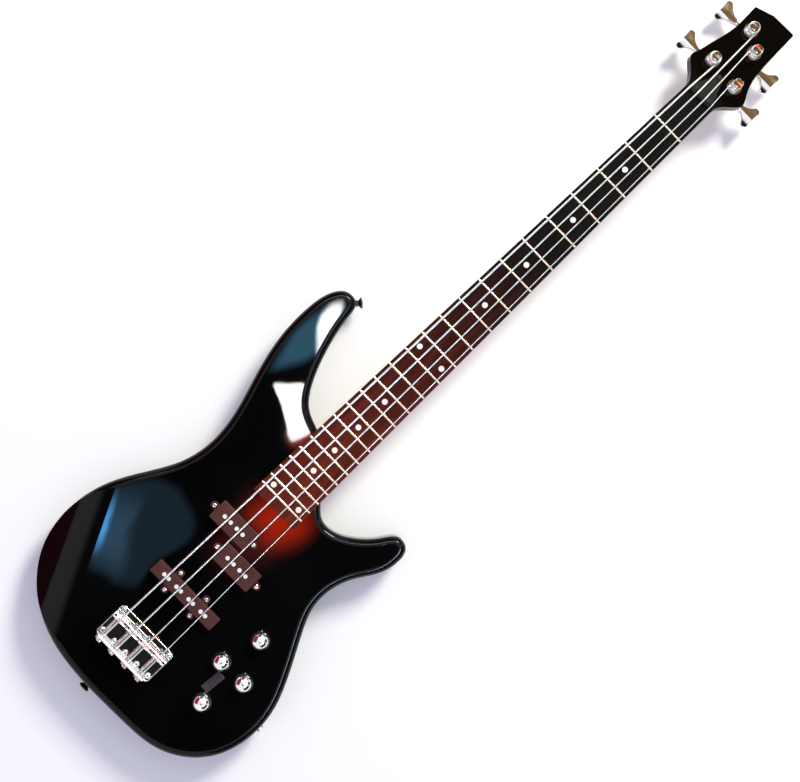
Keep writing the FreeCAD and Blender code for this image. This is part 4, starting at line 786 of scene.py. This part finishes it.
def make_cover_screws():
    """Round heads on the truss rod cover and flat ones in the control cover on the back."""
    round_head = screw_form(SMALL_HEAD, SMALL_CROWN, SMALL_SHANK, COVER_SCREW_LENGTH)
    flat_head = screw_form(SMALL_HEAD, FLAT_CROWN, SMALL_SHANK, COVER_SCREW_LENGTH)
    normal = head_point(0, 0, 1) - head_point(0, 0, 0)
    copies = [(round_head, pointing(head_point(along, across, TRUSS_COVER_TOP), normal))
              for along, across in TRUSS_SCREWS]
    copies += [(flat_head, pointing(place, DOWN)) for place in control_screw_places()]
    add_screws("cover_cross_screws", copies, "black_screw", "instrument", "cover_screws")


def make_neck_bolts():
    places = [(x, y, NECK_BOLT_LEVEL) for x, y in NECK_BOLTS]
    form = screw_form(radius=0.005, crown=0.0002, shank=0.0025, length=0.039)
    copies = turned_copies(form, places, DOWN)
    add_screws("neck_cross_bolts", copies, "chrome", "instrument", "neck_bolts")


# Small pieces on the body and the board
def make_plate():
    """A bare plate with a bevelled rim, between the knobs."""
    turn = Matrix.Translation(PLATE_PLACE) @ Matrix.Rotation(PLATE_TURN, 4, "Z")
    corners = ((1, 1), (-1, 1), (-1, -1), (1, -1))
    places = []
    for inset, height in PLATE_RINGS:
        for way, side in corners:
            x = way * (PLATE_HALF_LENGTH - inset)
            y = side * (PLATE_HALF_WIDTH - inset)
            places.append(turn @ Vector((x, y, height)))
    faces = closed_faces(len(PLATE_RINGS), len(corners))
    add_piece("bare_plate", places, faces, "black_plastic", "instrument", PLATE, smooth=False)


def make_side_dots():
    """Small dots on the board's bass edge, one at each marked fret and two at the octaves."""
    dot = lathe(((0, DOT_PROUD), (DOT_FACE, DOT_PROUD), (DOT_RADIUS, -DOT_SUNK), (0, -DOT_SUNK)), 20)
    taper = (BOARD_WIDTH_AT_END - BOARD_WIDTH_AT_NUT) / (SCALE - BOARD_END)
    outward = Vector((taper / 2, 1, 0)).normalized()
    copies = []
    for fret in MARKED_FRETS:
        middle = SCALE * (2 ** (-fret / 12) + 2 ** (-(fret - 1) / 12)) / 2
        for shift in (-DOT_SPREAD, DOT_SPREAD) if fret in OCTAVES else (0,):
            x = middle + shift
            half_width = (BOARD_WIDTH_AT_NUT + taper * (SCALE - x)) / 2
            copies.append((dot, pointing(Vector((x, half_width, NECK_TOP + DOT_LEVEL)), outward)))
    places, faces = joined_copies(copies)
    add_piece("side_dots", places, faces, "pearl", "instrument", smooth=False)


# Stage: camera, floor, world and lamp
CAMERA_PLACE = Vector((0.32299, 0.02981, 1.71289))
CAMERA_RIGHT = Vector((0.71832, -0.69428, 0.04457))
CAMERA_UP = Vector((0.69439, 0.71943, 0.0156))
FOCAL_PIXELS = 1500
PHOTO_WIDTH = 800
SENSOR_WIDTH = 36
FLOOR_REACH = 14
FLOOR_DROP = 0.0002
FLOOR_LIFT = 0.1
FAR_LIFT = 0.65
FAR_FROM = 1.0
FAR_TO = 3.2
WORLD_FILL = (0.52, 0.51, 0.66)
WORLD_GAP_X = -0.09
LAMP_PLACE = Vector((2.9, 0.3, 1.75))
LAMP_AIM = Vector((0.35, 0, 0))


def make_camera():
    data = bpy.data.cameras.new("camera")
    data.sensor_fit = "HORIZONTAL"
    data.sensor_width = SENSOR_WIDTH
    data.lens = SENSOR_WIDTH * FOCAL_PIXELS / PHOTO_WIDTH
    data.clip_start = 0.05
    data.clip_end = 60
    camera = add_object("camera", data)
    back = CAMERA_RIGHT.cross(CAMERA_UP).normalized()
    turn = Matrix((CAMERA_RIGHT.normalized(), CAMERA_UP.normalized(), back)).transposed().to_4x4()
    camera.matrix_world = Matrix.Translation(CAMERA_PLACE) @ turn
    bpy.context.scene.camera = camera


def make_floor():
    """A plain pale floor under the flat back, lifted a little where it is seen and to white far away."""
    material = make_material("floor", (0.9, 0.9, 0.92), 0.9, Emission_Color=(1, 1, 1, 1))
    tree = material.node_tree
    distance = add_node(tree, "VectorMath", {"operation": "LENGTH"}, Vector=place_of(material))
    by_distance = add_node(tree, "MapRange", {"interpolation_type": "SMOOTHSTEP"},
                           Value=distance.outputs["Value"], From_Min=FAR_FROM, From_Max=FAR_TO,
                           To_Min=FLOOR_LIFT, To_Max=FAR_LIFT)
    lift = math_node(material, "MULTIPLY", seen_ray(material), by_distance.outputs["Result"])
    feed(material, "Emission Strength", lift)
    mesh = bpy.data.meshes.new("floor")
    r = FLOOR_REACH
    mesh.from_pydata([(-r, -r, 0), (r, -r, 0), (r, r, 0), (-r, r, 0)], [], [(0, 1, 2, 3)])
    mesh.materials.append(material)
    floor = add_object("floor", mesh)
    floor.location.z = -FLOOR_DROP


def make_world():
    """A pale studio all round with a dark gap overhead, so that black lacquer stays black from above."""
    world = bpy.data.worlds.new("studio")
    bpy.context.scene.world = world
    world.use_nodes = True
    tree = world.node_tree
    flat = place_of(world, stretch=(1, 1, 0), output="Generated", offset=(-WORLD_GAP_X, 0, 0))
    off_gap = add_node(tree, "VectorMath", {"operation": "LENGTH"}, Vector=flat).outputs["Value"]
    studio = ramp(world, off_gap, ((0.0, 0.01), (0.2, 0.02), (0.3, 0.9), (0.45, 1.0)))
    shown = mixed(world, seen_ray(world), WORLD_FILL, studio)
    tree.links.new(shown, tree.nodes["Background"].inputs["Color"])


def make_lamp():
    """A round, warm key lamp beyond the headstock."""
    data = bpy.data.lights.new("key", "AREA")
    data.shape = "DISK"
    data.size = 1.0
    data.energy = 105
    data.color = (1.0, 0.99, 0.80)
    lamp = add_object("key", data)
    lamp.location = LAMP_PLACE
    lamp.rotation_euler = (LAMP_AIM - LAMP_PLACE).to_track_quat("-Z", "Y").to_euler()


# Cards that only mirrors see
CARD_HEIGHT = 2.5
NEARER = CARD_HEIGHT - 0.05
NEAREST = CARD_HEIGHT - 0.1
CARD_RIM = 0.12
LACQUER_MIRROR = 0.08 * LACQUER_GLOSS

# Outlines of reflections on the body's top, in millimetres
BOUT_PATCH = ((82, 150), (35, 122), (8, 100), (14, 76), (18, 57), (32, 40), (65, 45), (111, 36), (135, 47),
              (147, 80), (147, 95), (136, 119), (111, 137))
BOUT_GLOW = ((82, 150), (35, 122), (8, 100), (14, 76), (18, 57), (45, 62), (80, 90), (120, 110), (111, 137))
BOUT_EDGE = ((88, 140), (44, 116), (22, 104), (26, 97), (54, 108), (94, 132))
HORN_PANEL = ((408, 124), (367, 131), (331, 125), (300, 114), (322, 98), (345, 88), (382, 87), (417, 108))
HORN_TIP = ((419, 118), (421, 111), (410, 103), (391, 97), (366, 89), (352, 88), (366, 105), (382, 118),
            (403, 123))
HORN_ROOT = ((299, 102), (312, 91), (325, 78), (319, 66), (308, 44), (299, 30), (271, 36), (268, 45),
             (278, 60), (289, 80))
HORN_FRINGE = ((320, 84), (330, 72), (322, 56), (312, 36), (300, 22), (266, 28), (262, 44), (280, 62))
NECK_GLOW = ((175, 45), (215, 45), (240, -20), (235, -55), (200, -62), (150, -50), (110, -30), (95, 0),
             (110, 30), (140, 35))
NECK_HEAT = ((206, 30), (222, 5), (242, -28), (238, -46), (214, -60), (180, -52), (156, -30), (160, 0),
             (172, 30))

# Corners of flat cards, in metres
BROWN_CORNERS = ((1.2, 0.45, 0.63), (1.2, -0.45, 0.63), (1.75, -0.45, 0.1), (1.75, 0.45, 0.1))
SIDE_CORNERS = ((0.5, 0), (1.6, 0), (1.6, 0.95), (0.5, 0.95))
SIDE_DISTANCE = 0.8


def mirrored(x, y, height):
    """Where the camera's ray to a point of the body's top, in millimetres, goes on to once reflected."""
    eye = Vector((CAMERA_PLACE.x, CAMERA_PLACE.y, 2 * BODY_TOP - CAMERA_PLACE.z))
    spot = Vector((x * MM, y * MM, BODY_TOP))
    return eye + (spot - eye) * ((height - eye.z) / (spot.z - eye.z))


def card_material(name, colour, strength):
    """A plain glow that fades to clear towards the card's rim."""
    material = bpy.data.materials.new(name)
    material.use_nodes = True
    tree = material.node_tree
    tree.nodes.remove(shader_of(material))
    fade = add_node(tree, "Attribute", {"attribute_name": "fade"}).outputs["Fac"]
    glow = add_node(tree, "Emission", Color=(*colour, 1), Strength=strength)
    clear = add_node(tree, "BsdfTransparent")
    both = add_node(tree, "MixShader", Fac=fade)
    tree.links.new(clear.outputs[0], both.inputs[1])
    tree.links.new(glow.outputs[0], both.inputs[2])
    tree.links.new(both.outputs[0], tree.nodes["Material Output"].inputs["Surface"])
    return material


def smooth_loop(points):
    """A smooth closed curve through points."""
    steps = 8
    count = len(points)
    curve = []
    for number in range(count):
        before, start, end, after = (Vector(points[(number + shift) % count]) for shift in (-1, 0, 1, 2))
        for step in range(steps):
            t = step / steps
            curve.append((start * 2 + (end - before) * t + (before * 2 - start * 5 + end * 4 - after) * t ** 2
                          + (start * 3 - before - end * 3 + after) * t ** 3) / 2)
    return curve


def add_card(name, rim, colour, strength, soft):
    """A glowing card with a soft rim; soft is the share of the way in at which it is full."""
    centre = sum(rim, Vector()) / len(rim)
    count = len(rim)
    places = []
    fades = []
    rings = 5
    for ring in range(rings + 1):
        share = ring / rings
        places += [centre + (point - centre) * (1 - soft * share) for point in rim]
        fades += [share ** 2 * (3 - 2 * share)] * count
    faces = ring_faces(rings + 1, count) + [tuple(range(rings * count, (rings + 1) * count))]
    mesh = bpy.data.meshes.new(name)
    mesh.from_pydata([tuple(place) for place in places], [], faces)
    layer = mesh.attributes.new("fade", "FLOAT", "POINT")
    layer.data.foreach_set("value", fades)
    mesh.materials.append(card_material(name, colour, strength))
    card = add_object(name, mesh)
    card.visible_camera = False
    card.visible_diffuse = False
    card.visible_shadow = False


def add_patch(name, outline, colour, shown, soft, height=CARD_HEIGHT):
    """A card given by the outline of its reflection on the body's top and its brightness there."""
    rim = [mirrored(point.x, point.y, height) for point in smooth_loop(outline)]
    add_card(name, rim, colour, shown / LACQUER_MIRROR, soft)


def add_wall(name, azimuth, low, high, half_width, colour, strength=1, soft=CARD_RIM, reach=3.0,
             centre=(0, 0, 0)):
    """A card off to one side: azimuth from +X, and its lower and upper elevation, in degrees."""
    turn = math.radians(azimuth)
    out = Vector((math.cos(turn), math.sin(turn), 0))
    side = Vector((-out.y, out.x, 0)) * half_width
    rows = []
    for elevation in (math.radians(low), math.radians(high)):
        ray = out * math.cos(elevation) + Vector((0, 0, math.sin(elevation)))
        rows.append(Vector(centre) + ray * reach)
    add_card(name, [rows[0] - side, rows[0] + side, rows[1] + side, rows[1] - side], colour, strength, soft)


def add_quad(name, corners, colour):
    """A flat card of plain brightness between four corners."""
    add_card(name, [Vector(corner) for corner in corners], colour, 1, CARD_RIM)


def make_lacquer_cards():
    """What the body's top mirrors: blue and pale patches on bout and horn, and a red glow by the board."""
    add_patch("bout_card", BOUT_PATCH, (0.3, 0.62, 0.95), shown=0.024, soft=0.2)
    add_patch("bout_glow_card", BOUT_GLOW, (0.26, 0.62, 1), shown=0.09, soft=0.85, height=NEARER)
    add_patch("bout_edge_card", BOUT_EDGE, (0.1, 0.45, 1), shown=0.75, soft=0.95, height=NEAREST)
    add_patch("horn_card", HORN_PANEL, (0.2, 0.64, 1), shown=0.12, soft=0.5)
    add_patch("horn_tip_card", HORN_TIP, (0.85, 0.95, 1), shown=1.2, soft=0.4, height=NEAREST)
    add_patch("horn_fringe_card", HORN_FRINGE, (1, 0.1, 0.08), shown=0.4, soft=0.5, height=NEARER)
    add_patch("horn_root_card", HORN_ROOT, (1, 0.97, 0.95), shown=1.1, soft=0.14, height=NEAREST)
    add_patch("neck_card", NECK_GLOW, (1, 0.14, 0.09), shown=0.045, soft=0.9)
    add_patch("neck_heat_card", NECK_HEAT, (1, 0.04, 0.005), shown=0.34, soft=0.85, height=NEARER)


def make_side_cards():
    """What the chrome and the body's rim mirror: dark and coloured cards all round, and two bright lines."""
    add_wall("red_card", azimuth=107, low=-4, high=55, half_width=2.1, colour=(0.3, 0.008, 0.03))
    add_wall("black_card", azimuth=-96, low=8, high=48, half_width=1.7, colour=(0.01, 0.01, 0.012))
    add_wall("window_card", azimuth=-68, low=52, high=59, half_width=0.5, colour=(0.5, 0.8, 1),
             strength=0.8 / LACQUER_MIRROR, soft=0.95, reach=0.8, centre=(0.05, -0.13, 0.04))
    add_wall("horn_line_card", azimuth=38, low=50, high=55, half_width=1.4, colour=(0.6, 0.85, 1),
             strength=0.3 / LACQUER_MIRROR, soft=0.6)
    add_quad("brown_card", BROWN_CORNERS, (0.2, 0.11, 0.04))
    for name, y in (("bass_side_card", SIDE_DISTANCE), ("treble_side_card", -SIDE_DISTANCE)):
        add_quad(name, [(x, y, z) for x, z in SIDE_CORNERS], (0.05, 0.045, 0.05))


dress_nodes()
make_strings()
make_bridge_screws()
make_pickup_screws()
make_cover_screws()
make_neck_bolts()
make_plate()
make_side_dots()
make_camera()
make_floor()
make_world()
make_lamp()
make_lacquer_cards()
make_side_cards()

scene = bpy.context.scene
scene.view_settings.view_transform = "Standard"
